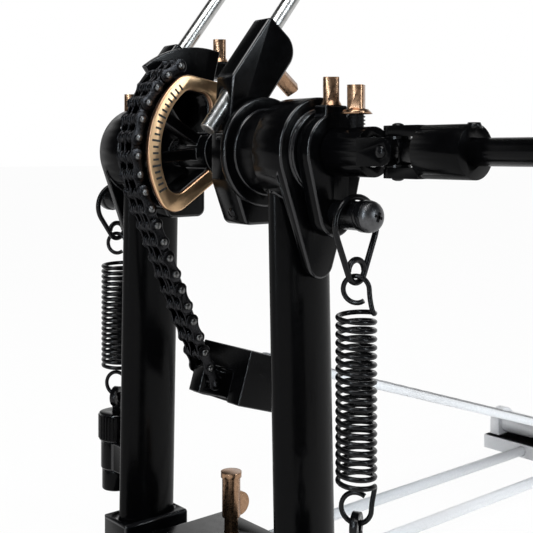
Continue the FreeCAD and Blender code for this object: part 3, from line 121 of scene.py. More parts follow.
# %% White surround
BACKDROP_WAY = (0.766, -0.643, 0)
NEAR_LEVEL, MATT_LEVEL = 0.05, 0.5
TURN_TO_WHITE = (0.2, 0.5)
CEILING_FADE = ((0.34, 1.0), (0.6, 0.04))


def backdrop_share(tree, direction):
    """From the near level on the near side of the studio to 1 on the side of the white backdrop."""
    facing = tree.nodes.new("ShaderNodeVectorMath")
    facing.operation = "DOT_PRODUCT"
    facing.inputs[1].default_value = BACKDROP_WAY
    tree.links.new(direction, facing.inputs[0])
    share = tree.nodes.new("ShaderNodeMapRange")
    share.inputs["From Min"].default_value, share.inputs["From Max"].default_value = TURN_TO_WHITE
    share.inputs["To Min"].default_value = NEAR_LEVEL
    tree.links.new(facing.outputs["Value"], share.inputs["Value"])
    return share.outputs[0]


def surround():
    """White all round at the object's level, and a dark studio ceiling high above it."""
    world = bpy.data.worlds.new("white_surround")
    world.use_nodes = True
    tree = world.node_tree
    light = tree.nodes["Background"]
    place = tree.nodes.new("ShaderNodeTexCoord")
    split = tree.nodes.new("ShaderNodeSeparateXYZ")
    tree.links.new(place.outputs["Generated"], split.inputs[0])
    fade = tree.nodes.new("ShaderNodeValToRGB")
    for stop, (where, level) in zip(fade.color_ramp.elements, CEILING_FADE):
        stop.position = where
        stop.color = (level, level, level, 1)
    tree.links.new(split.outputs["Z"], fade.inputs["Fac"])
    tree.links.new(fade.outputs["Color"], light.inputs["Color"])
    mirrored = tree.nodes.new("ShaderNodeMapRange")
    mirrored.inputs["To Min"].default_value = MATT_LEVEL
    tree.links.new(seen_directly(tree), mirrored.inputs["Value"])
    tree.links.new(backdrop_share(tree, place.outputs["Generated"]), mirrored.inputs["To Max"])
    strength = tree.nodes.new("ShaderNodeMapRange")
    strength.inputs["To Max"].default_value = 1.0
    tree.links.new(seen_directly(tree, ()), strength.inputs["Value"])
    tree.links.new(mirrored.outputs[0], strength.inputs["To Min"])
    tree.links.new(strength.outputs[0], light.inputs["Strength"])
    return world


scene.world = surround()
print("surround", scene.world.name)

# %% [markdown]
# The floor is one large flat sheet, white to the camera and in reflections too. If it were white all through,
# the pedal would seem to float, so a small share of it stays an ordinary matt surface, and that share shows
# the pedal's shadow.

# %% Floor
FLOOR_SIZE = 12
FLOOR_GLOW = 0.97
FLOOR_GREY = (0.97, 0.97, 0.97, 1)


def floor_finish():
    material = bpy.data.materials.new("pale_floor")
    material.use_nodes = True
    tree = material.node_tree
    tree.nodes.remove(tree.nodes["Principled BSDF"])
    matt = tree.nodes.new("ShaderNodeBsdfDiffuse")
    matt.inputs["Color"].default_value = FLOOR_GREY
    glow = tree.nodes.new("ShaderNodeEmission")
    glow.inputs["Strength"].default_value = 1.0
    share = tree.nodes.new("ShaderNodeMath")
    share.operation = "MULTIPLY"
    share.inputs[1].default_value = FLOOR_GLOW
    mix = tree.nodes.new("ShaderNodeMixShader")
    tree.links.new(seen_directly(tree), share.inputs[0])
    tree.links.new(share.outputs[0], mix.inputs["Fac"])
    tree.links.new(matt.outputs[0], mix.inputs[1])
    tree.links.new(glow.outputs[0], mix.inputs[2])
    tree.links.new(mix.outputs[0], tree.nodes["Material Output"].inputs["Surface"])
    return material


def piece_from(name, shape, finish):
    """A new object at the origin from a bmesh, with one finish."""
    mesh = bpy.data.meshes.new(name)
    shape.to_mesh(mesh)
    shape.free()
    mesh.materials.append(finish)
    piece = bpy.data.objects.new(name, mesh)
    scene.collection.objects.link(piece)
    return piece


shape = bmesh.new()
bmesh.ops.create_grid(shape, x_segments=1, y_segments=1, size=FLOOR_SIZE)
floor = piece_from("studio_floor", shape, floor_finish())
print("floor", floor.name)

# %% [markdown]
# Black paint shows its form by the lights that it mirrors. A wide softbox above gives the general light. With
# it alone the black pieces would run together, so two narrow, slightly blue strips draw thin bright lines
# along rounded edges and down the oval posts.

# %% Lamps
def softbox(name, place, aim, size, watts, colour):
    lamp = bpy.data.lights.new(name, "AREA")
    lamp.shape = "RECTANGLE"
    lamp.size, lamp.size_y = size
    lamp.energy = watts
    lamp.color = colour
    holder = bpy.data.objects.new(name, lamp)
    holder.location = place
    holder.rotation_euler = (Vector(aim) - Vector(place)).to_track_quat("-Z", "Y").to_euler()
    scene.collection.objects.link(holder)


softbox("softbox_above", (-0.3, 0.3, 1.3), (-0.1, 0, 0.15), (0.7, 0.7), 11, (1, 1, 1))
softbox("strip_drum_side", (-0.35, 1.0, 0.55), (0, 0, 0.15), (0.08, 0.9), 6, (0.82, 0.92, 1))
softbox("strip_left", (-1.1, -0.25, 0.6), (0, 0, 0.15), (0.08, 0.9), 6, (0.86, 0.94, 1))
print("lamps", [item.name for item in bpy.data.lights])

# %% [markdown]
# Every metal and paint on a real pedal has a little life in it: the gloss isn't even, the colour drifts
# slightly, and the surface is never quite flat. One helper makes such a finish from noise in Object
# coordinates, so that no piece needs a UV map, and each finish gives it its own scale and depth.

# %% Finish helper
def finish(name, colour, metallic=0.0, roughness=(0.2, 0.3), grain=500, relief=1e-5, tone=0.12,
           specular=0.5, stretch=(1, 1, 1)):
    material = bpy.data.materials.new(name)
    material.use_nodes = True
    tree = material.node_tree
    shader = tree.nodes["Principled BSDF"]
    shader.inputs["Metallic"].default_value = metallic
    shader.inputs["Specular IOR Level"].default_value = specular
    place = tree.nodes.new("ShaderNodeTexCoord")
    stretched = tree.nodes.new("ShaderNodeMapping")
    stretched.inputs["Scale"].default_value = stretch
    cloud = tree.nodes.new("ShaderNodeTexNoise")
    cloud.inputs["Scale"].default_value = grain
    cloud.inputs["Detail"].default_value = 4
    tree.links.new(place.outputs["Object"], stretched.inputs["Vector"])
    tree.links.new(stretched.outputs[0], cloud.inputs["Vector"])
    drift = tree.nodes.new("ShaderNodeValToRGB")
    for stop, share, where in zip(drift.color_ramp.elements, (1 - tone, 1 + tone), (0.35, 0.65)):
        stop.position = where
        stop.color = (*(min(1, part * share) for part in colour), 1)
    tree.links.new(cloud.outputs["Fac"], drift.inputs["Fac"])
    tree.links.new(drift.outputs["Color"], shader.inputs["Base Color"])
    gloss = tree.nodes.new("ShaderNodeMapRange")
    gloss.inputs["From Min"].default_value = 0.3
    gloss.inputs["From Max"].default_value = 0.7
    gloss.inputs["To Min"].default_value, gloss.inputs["To Max"].default_value = roughness
    tree.links.new(cloud.outputs["Fac"], gloss.inputs["Value"])
    tree.links.new(gloss.outputs[0], shader.inputs["Roughness"])
    bump = tree.nodes.new("ShaderNodeBump")
    bump.inputs["Distance"].default_value = relief
    tree.links.new(cloud.outputs["Fac"], bump.inputs["Height"])
    tree.links.new(bump.outputs[0], shader.inputs["Normal"])
    return material


print("finish helper", finish.__name__)

# %% [markdown]
# The pedal is mostly gloss black paint, with black steel wire, copper-plated key bolts, a rose gold ring,
# plated rods and pale satin footboards. Painted image textures could carry more wear, but noise needs no
# files and is fine enough at this size. Each material slot of the record has a finish, and a few nodes have
# one of their own, such as the base rods, which are as pale as the boards.

# %% Finishes
gloss_black = finish("gloss_black", (0.0014, 0.0014, 0.0016), roughness=(0.18, 0.25), grain=260, relief=2e-6,
                     specular=0.08)
# A paler, glossier black for the rounded edges of black paint: rubbed paint and a painted highlight.
rubbed_highlight_black = finish("rubbed_highlight_black", (0.006, 0.006, 0.0068), roughness=(0.16, 0.24), grain=600, relief=2e-6,
                      specular=0.5)
black_steel = finish("black_steel", (0.003, 0.003, 0.0034), roughness=(0.18, 0.28), grain=900, specular=0.2)
copper = finish("copper_plate", (0.34, 0.205, 0.125), 1.0, (0.24, 0.32), grain=700, tone=0.16, relief=4e-6)
rose_gold = finish("rose_gold", (0.78, 0.52, 0.30), 1.0, (0.32, 0.40), grain=900, tone=0.04, relief=3e-6)
bronze_rim = finish("bronze_rim", (0.34, 0.19, 0.115), 1.0, (0.26, 0.36), grain=900, tone=0.06, relief=3e-6)
chrome = finish("chrome_plate", (0.46, 0.46, 0.45), 1.0, (0.26, 0.32), grain=300, relief=0)
dark_steel = finish("dark_steel", (0.05, 0.05, 0.052), 1.0, (0.18, 0.3), grain=1200)
bright_steel = finish("bright_steel", (0.33, 0.33, 0.33), 1.0, (0.2, 0.32), grain=1000)
chain_steel = finish("chain_steel", (0.028, 0.028, 0.03), 1.0, (0.24, 0.38), grain=1500)
rubber = finish("black_rubber", (0.02, 0.02, 0.02), 0.0, (0.6, 0.75), grain=2000, relief=4e-5, specular=0.3)
felt = finish("pressed_felt", (0.74, 0.71, 0.64), 0.0, (0.9, 1.0), grain=2500, relief=2e-4, specular=0.1)
satin_board = finish("satin_aluminium", (0.88, 0.88, 0.89), 0.1, (0.3, 0.4), grain=800, tone=0.04,
                     stretch=(8, 1, 1))
finish_of_slot = {"black": gloss_black, "chain": chain_steel, "copper": copper, "rose_gold": rose_gold,
                  "dark_steel": dark_steel, "steel": bright_steel, "chrome": chrome, "rubber": rubber,
                  "felt": felt, "board": satin_board}
finish_of_node = {"right_joint_cross": black_steel, "left_joint_cross": black_steel,
                  "left_spring_link": black_steel, "right_spring_link": black_steel,
                  "left_spring_screw": black_steel, "right_spring_screw": black_steel,
                  "tension_bolts": black_steel, "primary_base_rods": satin_board,
                  "slave_rods_and_pin": satin_board, "primary_heel_plate": satin_board,
                  "slave_heel_plate": satin_board, "primary_heel_pin": satin_board}
print("finishes", len(finish_of_slot))

# %% [markdown]
# Every piece of the dressed model belongs to the mechanism: it moves with one body and may stand for a CAD
# node, which then no longer shows. Two helpers say this in the same way each time.

# %% Pieces on the frame
def moves_with(piece, body):
    """A piece that moves with a body."""
    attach(piece, body)
    return piece


def stands_for(piece, node):
    """A piece that takes a CAD node's place and moves with its body."""
    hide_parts(node)
    return moves_with(piece, body_of[node])


# %% [markdown]
# Castings and turned parts have no knife-sharp edges: a small round catches the light along each one. A
# solid's mesh is copied, its loose triangles are merged and flat ones joined, and a Bevel modifier rounds the
# edges while it keeps the flat faces flat. Rounding every edge in the solids would also work, but it makes
# them heavy and says nothing about how they fit. The tension bolts' eyes are also turned on their stems, to
# face their springs' hooks.

# %% Edge rounding
FLAT, CREASE = math.radians(0.6), math.radians(32)
SPRING_X = 0.0885
HOOK_TURN = math.radians(210)


def merged_copy(node):
    """A bmesh of a CAD node, with its loose triangles merged and its flat ones joined."""
    shape = bmesh.new()
    shape.from_mesh(frame["nodes"][node].data)
    bmesh.ops.remove_doubles(shape, verts=shape.verts, dist=1e-6)
    bmesh.ops.dissolve_limit(shape, angle_limit=FLAT, verts=shape.verts, edges=shape.edges)
    return shape


def turn_eyes(shape):
    for side in (-1, 1):
        half = [vert for vert in shape.verts if vert.co.x * side > 0]
        bmesh.ops.rotate(shape, verts=half, cent=(side * SPRING_X, 0, 0),
                         matrix=Matrix.Rotation(HOOK_TURN, 3, "Z"))


def round_edges(piece, width, clamped, edge_highlight_slot):
    rounding = piece.modifiers.new("rounded_edges", "BEVEL")
    rounding.width = width
    rounding.segments = 2
    rounding.limit_method = "ANGLE"
    rounding.angle_limit = CREASE
    rounding.use_clamp_overlap = clamped
    rounding.harden_normals = True
    rounding.material = edge_highlight_slot


print("edges are rounded from", round(math.degrees(CREASE)), "degrees")

# %% [markdown]
# One width for all edges would swallow the small pieces or leave the large ones sharp, so the pieces that
# need it have their own. On black paint the rounded edges take a second black, glossier and a little paler
# than the faces: rubbed paint, and a painted highlight along every edge. The cam's ring has a darker metal on
# its edges than on its face. Round wire and the worn square heads of the key bolts have no edges to soften,
# so they only get smooth shading.

# %% Softened solids
ROUND_WIRE = {"right_spring_link"}
OWN_FORM = {"left_spring", "right_spring", "primary_rod", "secondary_rod", "left_spring_link"}
KEY_BOLTS = {"primary_clamp_bolts", "secondary_clamp_bolts"}
CLAMPED = {"tension_bolts", "hoop_bolt", "shaft_yoke", "right_drive_yoke"}
PLAIN_WIDTH = 0.0005
WIDTHS = {"cam_ring": 0.0009, "hoop_bolt": 0.0004, "tension_bolts": 0.0002, "primary_beater": 0.002,
          "secondary_beater": 0.002, "primary_footboard": 0.001, "slave_footboard": 0.001,
          "primary_base": 0.0014, "left_post": 0.0008, "right_post": 0.0008, "left_rocker": 0.0008,
          "right_rocker": 0.0008, "primary_beater_holder": 0.0011, "secondary_beater_holder": 0.0011,
          "shaft_yoke": 0.0004, "right_drive_yoke": 0.0004, "right_joint_cross": 0.0015,
          "left_joint_cross": 0.0015}
SHARP = math.radians(50)


def softened(node, material, width):
    shape = merged_copy(node)
    if node == "tension_bolts":
        turn_eyes(shape)
    for face in shape.faces:
        face.smooth = True
    for edge in shape.edges:
        edge.smooth = node not in KEY_BOLTS or edge.calc_face_angle(0) < SHARP
    if node == "cam_ring":
        for face in shape.faces:
            face.material_index = int(abs(face.normal.x) < 0.9)
    piece = piece_from(node + "_soft", shape, material)
    if node == "cam_ring":
        piece.data.materials.append(bronze_rim)
    # Black paint takes the paler edge black as its second slot, a painted highlight along its rounded edges.
    if material == gloss_black:
        piece.data.materials.append(rubbed_highlight_black)
    if width:
        round_edges(piece, width, node in CLAMPED, 1 if material == gloss_black else -1)
    stands_for(piece, node)


for node, slot in slot_of.items():
    if node not in OWN_FORM:
        width = 0 if node in ROUND_WIRE | KEY_BOLTS else WIDTHS.get(node, PLAIN_WIDTH)
        softened(node, finish_of_node.get(node, finish_of_slot[slot]), width)
print("softened", len(slot_of) - len(OWN_FORM))

# %% [markdown]
# Beater rods. Each is a turned bar with a small round at its ends. The solid's own mesh would do, but on a
# polished bar every facet shows as a stripe. So it is drawn anew as a cylinder with many sides, along the
# line on which its beater slides, and its length, thickness and place are measured on the solid.

# %% Beater rods
ROD_SIDES, ROD_ROUND = 72, 0.0007


def turned_rod(node, way):
    points = [vert.co for vert in frame["nodes"][node].data.vertices]
    ways = (way, Vector((1, 0, 0)), way.cross(Vector((1, 0, 0))))
    spans = []
    for line in ways:
        reach = [point.dot(line) for point in points]
        spans.append((min(reach), max(reach)))
    middle = sum((line * (low + high) / 2 for line, (low, high) in zip(ways, spans)), Vector())
    radius, length = (spans[1][1] - spans[1][0]) / 2, spans[0][1] - spans[0][0]
    turn = Vector((0, 0, 1)).rotation_difference(way).to_matrix().to_4x4()
    shape = bmesh.new()
    bmesh.ops.create_cone(shape, cap_ends=True, segments=ROD_SIDES, radius1=radius, radius2=radius,
                          depth=length, matrix=Matrix.Translation(middle) @ turn)
    ends = [face for face in shape.faces if abs(face.normal.dot(way)) > 0.9]
    rims = {edge for face in ends for edge in face.edges}
    bmesh.ops.bevel(shape, geom=list(rims), offset=ROD_ROUND, segments=3, profile=0.5, affect="EDGES",
                    material=-1)
    for face in shape.faces:
        face.smooth = abs(face.normal.dot(way)) < 0.98
    return stands_for(piece_from(node + "_turned", shape, chrome), node)


for node, slide in (("primary_rod", "right_beater_height"), ("secondary_rod", "left_beater_height")):
    print(turned_rod(node, Vector(joints[slide]["axis"]).normalized()).name)

# %% [markdown]
# Wire. A spring or a bent link is one length of round wire, so it is a curve with a round section along a
# path, made a mesh at once. Two helpers give the stretches of such a path: arcs for the bends, and eased
# runs that leave one stretch and enter the next in their own directions.

# %% Wire helpers
def arc(centre, radius, start, end, across=Vector((1, 0, 0)), steps=24):
    """Points on an upright circle, by angle from the way across."""
    angles = [math.radians(start + (end - start) * i / steps) for i in range(steps + 1)]
    return [centre + radius * (math.cos(a) * across + Vector((0, 0, math.sin(a)))) for a in angles]


def eased(start, way_out, end, way_in, steps=12):
    """Points on a cubic between two places with the directions there."""
    span = (end - start).length
    points = []
    for i in range(1, steps):
        t = i / steps
        points.append((2 * t**3 - 3 * t**2 + 1) * start + (t**3 - 2 * t**2 + t) * span * way_out
                      + (3 * t**2 - 2 * t**3) * end + (t**3 - t**2) * span * way_in)
    return points


def wire_mesh(name, points, radius, material, closed=False):
    """A round wire through points, as a mesh piece."""
    curve = bpy.data.curves.new(name, "CURVE")
    curve.dimensions = "3D"
    curve.bevel_depth = radius
    curve.bevel_resolution = 3
    curve.use_fill_caps = True
    line = curve.splines.new("POLY")
    line.points.add(len(points) - 1)
    for knot, point in zip(line.points, points):
        knot.co = (*point, 1)
    line.use_smooth = True
    line.use_cyclic_u = closed
    holder = bpy.data.objects.new(name, curve)
    mesh = bpy.data.meshes.new_from_object(holder)
    bpy.data.objects.remove(holder)
    mesh.materials.clear()
    mesh.materials.append(material)
    piece = bpy.data.objects.new(name, mesh)
    scene.collection.objects.link(piece)
    return piece


print("wire helpers", arc.__name__, eased.__name__, wire_mesh.__name__)

# %% [markdown]
# Springs. The wire runs from the upper hook into the winding, down its turns, and out into the lower hook. A
# Screw modifier could make the turns alone, but one path also holds both hooks and the bends into them.

# %% Springs
WIRE = 0.002
COIL = (0.0163 - WIRE) / 2
HOOK, LOOP = 0.0052, 0.0060
HOOK_SWEEP = 305
TURNS, TURN_STEPS = 20, 24
LINK_DROP = 0.0049


def spring_path(node, coil_top, coil_low, hang):
    low, high = (Vector(corner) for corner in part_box(node))
    x = (low.x + high.x) / 2
    upper = Vector((x, 0, high.z - WIRE / 2 - HOOK - hang))
    lower = Vector((x, 0, low.z + WIRE / 2 + LOOP))
    steps = TURN_STEPS * TURNS
    winding = []
    for i in range(steps + 1):
        angle = 2 * math.pi * TURNS * i / steps
        winding.append(Vector((x + COIL * math.cos(angle), COIL * math.sin(angle),
                               coil_top + (coil_low - coil_top) * i / steps)))
    down, along = Vector((0, 0, -1)), Vector((0, 1, 0))
    top_hook, low_hook = arc(upper, HOOK, HOOK_SWEEP, 0), arc(lower, LOOP, 0, -HOOK_SWEEP)
    path = (top_hook + eased(top_hook[-1], down, winding[0], along) + winding
            + eased(winding[-1], along, low_hook[0], down) + low_hook)
    axis = Vector((x, 0, 0))
    return [axis + Matrix.Rotation(HOOK_TURN, 3, "Z") @ (point - axis) for point in path]


for side, coil_top, coil_low, hang in (("left", 0.061, 0.1293, LINK_DROP), ("right", 0.0575, 0.1142, 0)):
    node = side + "_spring"
    path = spring_path(node, SHAFT_HEIGHT - coil_top - WIRE / 2, SHAFT_HEIGHT - coil_low + WIRE / 2, hang)
    piece = wire_mesh(node + "_wire", path, WIRE / 2, black_steel)
    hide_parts(node)
    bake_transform(piece)
    print(piece.name, len(piece.data.polygons))

# %% [markdown]
# Wire links hang from the rockers and end in a closed eye, so an arc of the same wire goes over the top of
# the small bend that holds the spring's hook. The left link is drawn here as a whole, a little longer than
# its solid: a large bend over the bushing, two straight legs and a small bend below. Stretching the solid
# would make its bends oval, so they are two arcs, and the legs lean so that they touch both.

# %% Wire links
LINK_WIRE, LINK_TOP = 0.0025, 0.0112
ALONG_Y = Vector((0, 1, 0))
for node, eye, longer in (("left_spring_link", 0.0044, LINK_DROP), ("right_spring_link", 0.004, 0)):
    low, high = (Vector(corner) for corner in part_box(node))
    x = (low.x + high.x) / 2
    top = Vector((x, 0, high.z - LINK_WIRE / 2 - LINK_TOP))
    small = Vector((x, 0, low.z + LINK_WIRE / 2 + eye - longer))
    pieces = [wire_mesh(node + "_eye", arc(small, eye, 0, 180, ALONG_Y), LINK_WIRE / 2, black_steel)]
    if node in OWN_FORM:
        lean = math.degrees(math.asin((LINK_TOP - eye) / (top.z - small.z)))
        over = arc(top, LINK_TOP, -lean, 180 + lean, ALONG_Y)
        under = arc(small, eye, 180 + lean, 360 - lean, ALONG_Y)
        pieces.append(wire_mesh(node + "_bent", over + under, LINK_WIRE / 2, black_steel, closed=True))
        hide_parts(node)
    for piece in pieces:
        moves_with(piece, body_of[node])
    print(node, len(pieces))

# %% [markdown]
# Chain pins. Each outer link carries two riveted pins, whose bright ends show on both faces of the chain. The
# first pins lie on the wheel, and the rest hang in a straight run from the point where the chain leaves it.
# Places picked by hand would drift from the links, so a formula gives them. A low cone with smooth sides is
# enough for a head this small.

# %% Chain pins
PITCH, WRAP_RADIUS, CHAIN_TILT, ON_WHEEL = 0.008, 0.0435, math.radians(23.5), 8
PIN_RADIUS, PIN_HEIGHT, RIVET_TAPER = 0.0017, 0.0006, 0.72
pin_steel = finish("pin_steel", (0.17, 0.17, 0.168), 1.0, (0.25, 0.4), grain=1800)


def pin_place(index):
    """Height and reach of a chain pin, from the shaft axis."""
    step = 2 * math.asin(PITCH / 2 / WRAP_RADIUS)
    if index <= ON_WHEEL:
        angle = (ON_WHEEL - index) * step - CHAIN_TILT
        return Vector((0, WRAP_RADIUS * math.cos(angle), SHAFT_HEIGHT + WRAP_RADIUS * math.sin(angle)))
    run = Vector((0, -math.sin(CHAIN_TILT), -math.cos(CHAIN_TILT)))
    return pin_place(ON_WHEEL) + (index - ON_WHEEL) * PITCH * run


def rivet(shape, place, normal, radius, height):
    """A low domed disc on a point of a surface."""
    turn = Vector((0, 0, 1)).rotation_difference(Vector(normal)).to_matrix().to_4x4()
    disc = bmesh.ops.create_cone(shape, cap_ends=True, segments=14, radius1=radius,
                                 radius2=radius * RIVET_TAPER, depth=height,
                                 matrix=Matrix.Translation(place) @ turn)
    for face in {face for vert in disc["verts"] for face in vert.link_faces}:
        face.smooth = True


def pin_ends(node, indexes):
    low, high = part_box(node)
    shape = bmesh.new()
    for index in indexes:
        place = pin_place(index)
        for x, normal in ((low[0], (-1, 0, 0)), (high[0], (1, 0, 0))):
            rivet(shape, Vector((x, place.y, place.z)), normal, PIN_RADIUS, PIN_HEIGHT)
    moves_with(piece_from(node + "_pin_ends", shape, pin_steel), body_of[node])


pins = {"chain_wrap": range(4), "chain_link_1": (4, 5), "chain_link_3": (6, 7), "chain_strand": range(8, 20)}
slave_pins = {"slave_chain_wrap": range(4), "slave_chain_link_1": (4, 5), "slave_chain_link_2": (6, 7),
              "slave_chain_strand": range(8, 20)}
for node, indexes in {**pins, **slave_pins}.items():
    pin_ends(node, indexes)
print("pin ends on", len(pins) + len(slave_pins), "chain pieces")

# %% [markdown]
# Ring scale. Short dark ticks lie along the arc of the cam's ring, as on a dial, and every fourth one is
# longer. A painted pattern could show them, but thin bars are part of the mesh itself.

# %% Ring scale
RING_RADIUS = 0.0371
TICKS, FIRST_TICK, TICK_STEP = 19, -26, 4.2
SHORT_TICK, LONG_TICK, TICK_WIDTH, TICK_DEPTH = 0.0028, 0.0042, 0.0009, 0.0003
ring_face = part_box("cam_ring")[0][0]
shape = bmesh.new()
for tick in range(TICKS):
    turn = Matrix.Rotation(math.radians(FIRST_TICK + TICK_STEP * tick), 4, "X")
    place = Matrix.Translation((ring_face, 0, SHAFT_HEIGHT)) @ turn
    length = LONG_TICK if tick % 4 == 0 else SHORT_TICK
    bar = Matrix.Translation((0, RING_RADIUS, 0)) @ Matrix.Diagonal((TICK_DEPTH, length, TICK_WIDTH, 1))
    bmesh.ops.create_cube(shape, size=1, matrix=place @ bar)
moves_with(piece_from("ring_scale", shape, rubber), body_of["cam_ring"])
print("ring scale", TICKS)

# %% [markdown]
# Universal joint. On the real one, rivets close the ends of the cross, and washers fill the slits between it
# and the fork arms. Set screws hold the fork on its drive rod and the beater holder on its shaft. Cutting
# holes and threads for such small heads would add much and show little, so short cones stand for them.

# %% Joint fasteners
RIVET_X, CROSS_X, YOKE_SCREW_X = -0.1101, -0.11, -0.1447
CROSS_RIVET, YOKE_SCREW, HOLDER_SCREW = (0.0022, 0.0014), (0.003, 0.002), (0.0026, 0.0012)
YOKE_SCREW_SEAT = 0.94
HOLDER_SCREW_PLACE = Vector((-0.022, 0.009, SHAFT_HEIGHT - 0.0264))
HOLDER_SCREW_WAY = (0, 0.933, -0.359)
WASHER_RADIUS, WASHER_DEPTH, WASHER_PLACE = 0.005, 0.0011, 0.0052


def fastener(name, material, rivets):
    """Rivets on the left beater's shaft, as one piece."""
    shape = bmesh.new()
    for place, normal, radius, height in rivets:
        rivet(shape, Vector(place), normal, radius, height)
    moves_with(piece_from(name, shape, material), "left_beater_shaft")


yoke_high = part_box("shaft_yoke")[1]
axis = Vector((RIVET_X, 0, SHAFT_HEIGHT))
reach = yoke_high[2] - SHAFT_HEIGHT
fastener("yoke_rivets", black_steel,
         [(axis + Vector((0, 0, reach)), (0, 0, 1), *CROSS_RIVET),
          (axis - Vector((0, 0, reach)), (0, 0, -1), *CROSS_RIVET)])
fastener("yoke_set_screw", black_steel,
         [(Vector((YOKE_SCREW_X, 0, SHAFT_HEIGHT + reach * YOKE_SCREW_SEAT)), (0, 0, 1), *YOKE_SCREW)])
fastener("holder_set_screw", black_steel, [(HOLDER_SCREW_PLACE, HOLDER_SCREW_WAY, *HOLDER_SCREW)])
shape = bmesh.new()
for way in ((0, 1, 0), (0, 0, 1)):
    turn = Vector((0, 0, 1)).rotation_difference(Vector(way)).to_matrix().to_4x4()
    for side in (-1, 1):
        place = Vector((CROSS_X, 0, SHAFT_HEIGHT)) + side * WASHER_PLACE * Vector(way)
        bmesh.ops.create_cone(shape, cap_ends=True, segments=32, radius1=WASHER_RADIUS, radius2=WASHER_RADIUS,
                              depth=WASHER_DEPTH, matrix=Matrix.Translation(place) @ turn)
moves_with(piece_from("joint_washers", shape, black_steel), "left_beater_shaft")
print("rivets, set screws and washers")

# %% [markdown]
# The key bolt in the hub of the other fork stands clear of it on a threaded sleeve, with a flange under its
# head. A helix could cut a true thread, but at this size a plain column with three wider discs shows the same
# dark lines.

# %% Yoke bolt
SLEEVE_RINGS = ((0.009, 0.0147, 0.003), (0.0105, 0.0111, 0.0035), (0.0119, 0.0125, 0.0035),
                (0.0133, 0.0139, 0.0035))
FLANGE_LIFT, FLANGE_RADIUS, FLANGE_HEIGHT = 0.0156, 0.0064, 0.0018
HALF_HUB = 0.0095
bolt_x = yoke_high[0] - HALF_HUB
shape = bmesh.new()
for foot, top, radius in SLEEVE_RINGS:
    bmesh.ops.create_cone(shape, cap_ends=True, segments=24, radius1=radius, radius2=radius, depth=top - foot,
                          matrix=Matrix.Translation((bolt_x, 0, SHAFT_HEIGHT + (foot + top) / 2)))
moves_with(piece_from("yoke_bolt_sleeve", shape, black_steel), "left_beater_shaft")
fastener("yoke_bolt_flange", copper,
         [(Vector((bolt_x, 0, SHAFT_HEIGHT + FLANGE_LIFT)), (0, 0, 1), FLANGE_RADIUS, FLANGE_HEIGHT)])
print("yoke bolt's threaded sleeve and flange")

# %% [markdown]
# A cross-head screw in each rocker holds the bushing on which the wire link hangs. A flattened sphere would
# do for its dome, but half of it would hide in the head, so a quarter of an ellipse is spun about the screw's
# axis. The real cross is a recess; here two thin black bars stand on the crown instead, as painted shade for
# that hollow.

# %% Cross-head screws
DOME_RISE, DOME_FIT, DOME_STEPS = 0.0044, 0.98, 8
CROSS_DEPTH, CROSS_WIDTH, CROSS_SPAN, CROSS_TURN, CROSS_SEAT = 0.0008, 0.0010, 0.6, 20, 0.97
dome_steel = finish("dome_steel", (0.10, 0.10, 0.103), 1.0, (0.34, 0.42), grain=1200, relief=2e-6)


def dome_shape(middle, radius, side):
    """A closed dome on a screw's end, spun from its rim to its crown."""
    shape = bmesh.new()
    rim = []
    for step in range(DOME_STEPS + 1):
        angle = math.radians(90 * step / DOME_STEPS)
        rim.append(shape.verts.new(middle + Vector((side * DOME_RISE * math.sin(angle),
                                                    DOME_FIT * radius * math.cos(angle), 0))))
    edges = [shape.edges.new(pair) for pair in zip(rim, rim[1:])]
    bmesh.ops.spin(shape, geom=rim + edges, cent=middle, axis=(1, 0, 0), angle=2 * math.pi, steps=32,
                   use_merge=True)
    bmesh.ops.remove_doubles(shape, verts=shape.verts, dist=1e-6)
    bmesh.ops.recalc_face_normals(shape, faces=shape.faces)
    for face in shape.faces:
        face.smooth = True
    return shape


def cross_head(node, side):
    """A domed head over the outer end of a spring screw, with black bars as painted shade for its cross
    recess.
    """
    low, high = (Vector(corner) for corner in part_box(node))
    end = low.x if side < 0 else high.x
    middle = Vector((end, (low.y + high.y) / 2, (low.z + high.z) / 2))
    radius = (high.z - low.z) / 2
    dome = piece_from(node + "_dome", dome_shape(middle, radius, side), dome_steel)
    moves_with(dome, body_of[node])
    shape = bmesh.new()
    # Two black bars stand proud of the crown: painted shade for the real screw's cross recess.
    place = Matrix.Translation(middle + Vector((side * DOME_RISE * CROSS_SEAT, 0, 0)))
    size = Matrix.Diagonal((CROSS_DEPTH, CROSS_WIDTH, radius * CROSS_SPAN, 1))
    for quarter in (0, 90):
        turn = Matrix.Rotation(math.radians(quarter + CROSS_TURN), 4, "X")
        bmesh.ops.create_cube(shape, size=1, matrix=place @ turn @ size)
    moves_with(piece_from(node + "_cross", shape, gloss_black), body_of[node])


cross_head("left_spring_screw", -1)
cross_head("right_spring_screw", 1)
print("cross-head screws 2")

# %% [markdown]
# The tension knobs are knurled, so that fingers can turn them: straight ridges stand round the widest part of
# each knob. Bump in the finish could show them, but not on the outline, so one small bar is repeated round
# the stem, at heights read from the knob's own mesh.

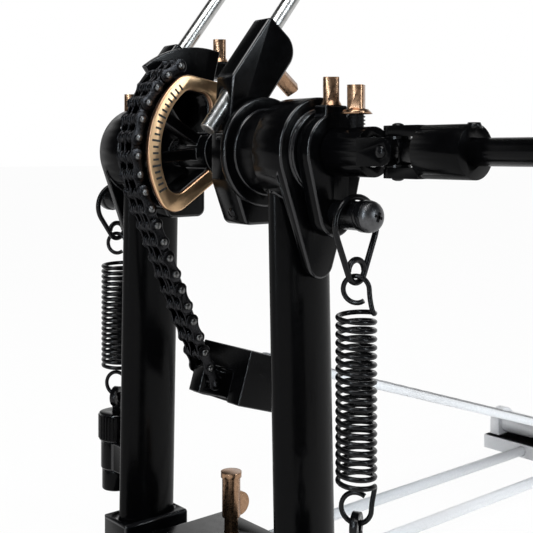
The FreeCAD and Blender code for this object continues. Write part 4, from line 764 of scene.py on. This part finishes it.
# %% Knurled knobs
KNOB, RIDGES = 0.0093, 32
RIDGE_DEPTH, RIDGE_WIDTH, RIDGE_SHARE = 0.0008, 0.0009, 0.84
shape = bmesh.new()
for side in (-1, 1):
    heights = [vert.co.z for vert in frame["nodes"]["tension_nuts"].data.vertices
               if abs(math.hypot(vert.co.x - side * SPRING_X, vert.co.y) - KNOB) < 1e-4]
    middle, tall = (min(heights) + max(heights)) / 2, max(heights) - min(heights)
    stem = Matrix.Translation((side * SPRING_X, 0, middle))
    size = Matrix.Diagonal((RIDGE_DEPTH, RIDGE_WIDTH, tall * RIDGE_SHARE, 1))
    bar = Matrix.Translation((KNOB, 0, 0)) @ size
    for ridge in range(RIDGES):
        turn = Matrix.Rotation(2 * math.pi * ridge / RIDGES, 4, "Z")
        bmesh.ops.create_cube(shape, size=1, matrix=stem @ turn @ bar)
moves_with(piece_from("knob_ridges", shape, gloss_black), body_of["tension_nuts"])
print("knob ridges", 2 * RIDGES)

# %% [markdown]
# Footboards. Rows of low round-ended grey ribs give the shoe grip. They lie on the board's top, which slopes
# up from the heel hinge, and narrow towards the toe with it. Bars would need every edge bevelled, so each rib
# is a flattened sphere half sunk in the board.

# %% Footboard grip
BOARD_SLOPE = math.radians(17.8)
BOARD_TOP = 0.006
ROWS, FIRST_ROW, ROW_PITCH = 16, 0.055, 0.0135
HEEL_HALF, ROW_TAPER = 0.030, 0.0011
RIB_REACH, RIB_PLACE, RIB_DEPTH, RIB_RISE = 0.42, 0.52, 0.0022, 0.0009
grip_grey = finish("grip_grey", (0.40, 0.40, 0.41), 0.2, (0.42, 0.55), grain=1400, relief=2e-5)


def grip(name, body, centre_x, pivot):
    shape = bmesh.new()
    for row in range(ROWS):
        along = FIRST_ROW + row * ROW_PITCH
        half = HEEL_HALF - ROW_TAPER * row
        flat = Matrix.Diagonal((half * RIB_REACH, RIB_DEPTH, RIB_RISE, 1))
        for side in (-1, 1):
            spot = Matrix.Translation((side * half * RIB_PLACE, along, BOARD_TOP))
            bmesh.ops.create_uvsphere(shape, u_segments=14, v_segments=6, radius=1, matrix=spot @ flat)
    place = Matrix.Translation((centre_x, *pivot)) @ Matrix.Rotation(BOARD_SLOPE, 4, "X")
    bmesh.ops.transform(shape, matrix=place, verts=shape.verts)
    for face in shape.faces:
        face.smooth = True
    moves_with(piece_from(name, shape, grip_grey), body)


for board, body in (("primary_footboard", "right_footboard"), ("slave_footboard", "left_footboard")):
    pivot = joints[body + "_tilt"]["pos_m"]
    low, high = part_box(board)
    grip(board + "_grip", body, (low[0] + high[0]) / 2, pivot[1:])
print("grips 2")
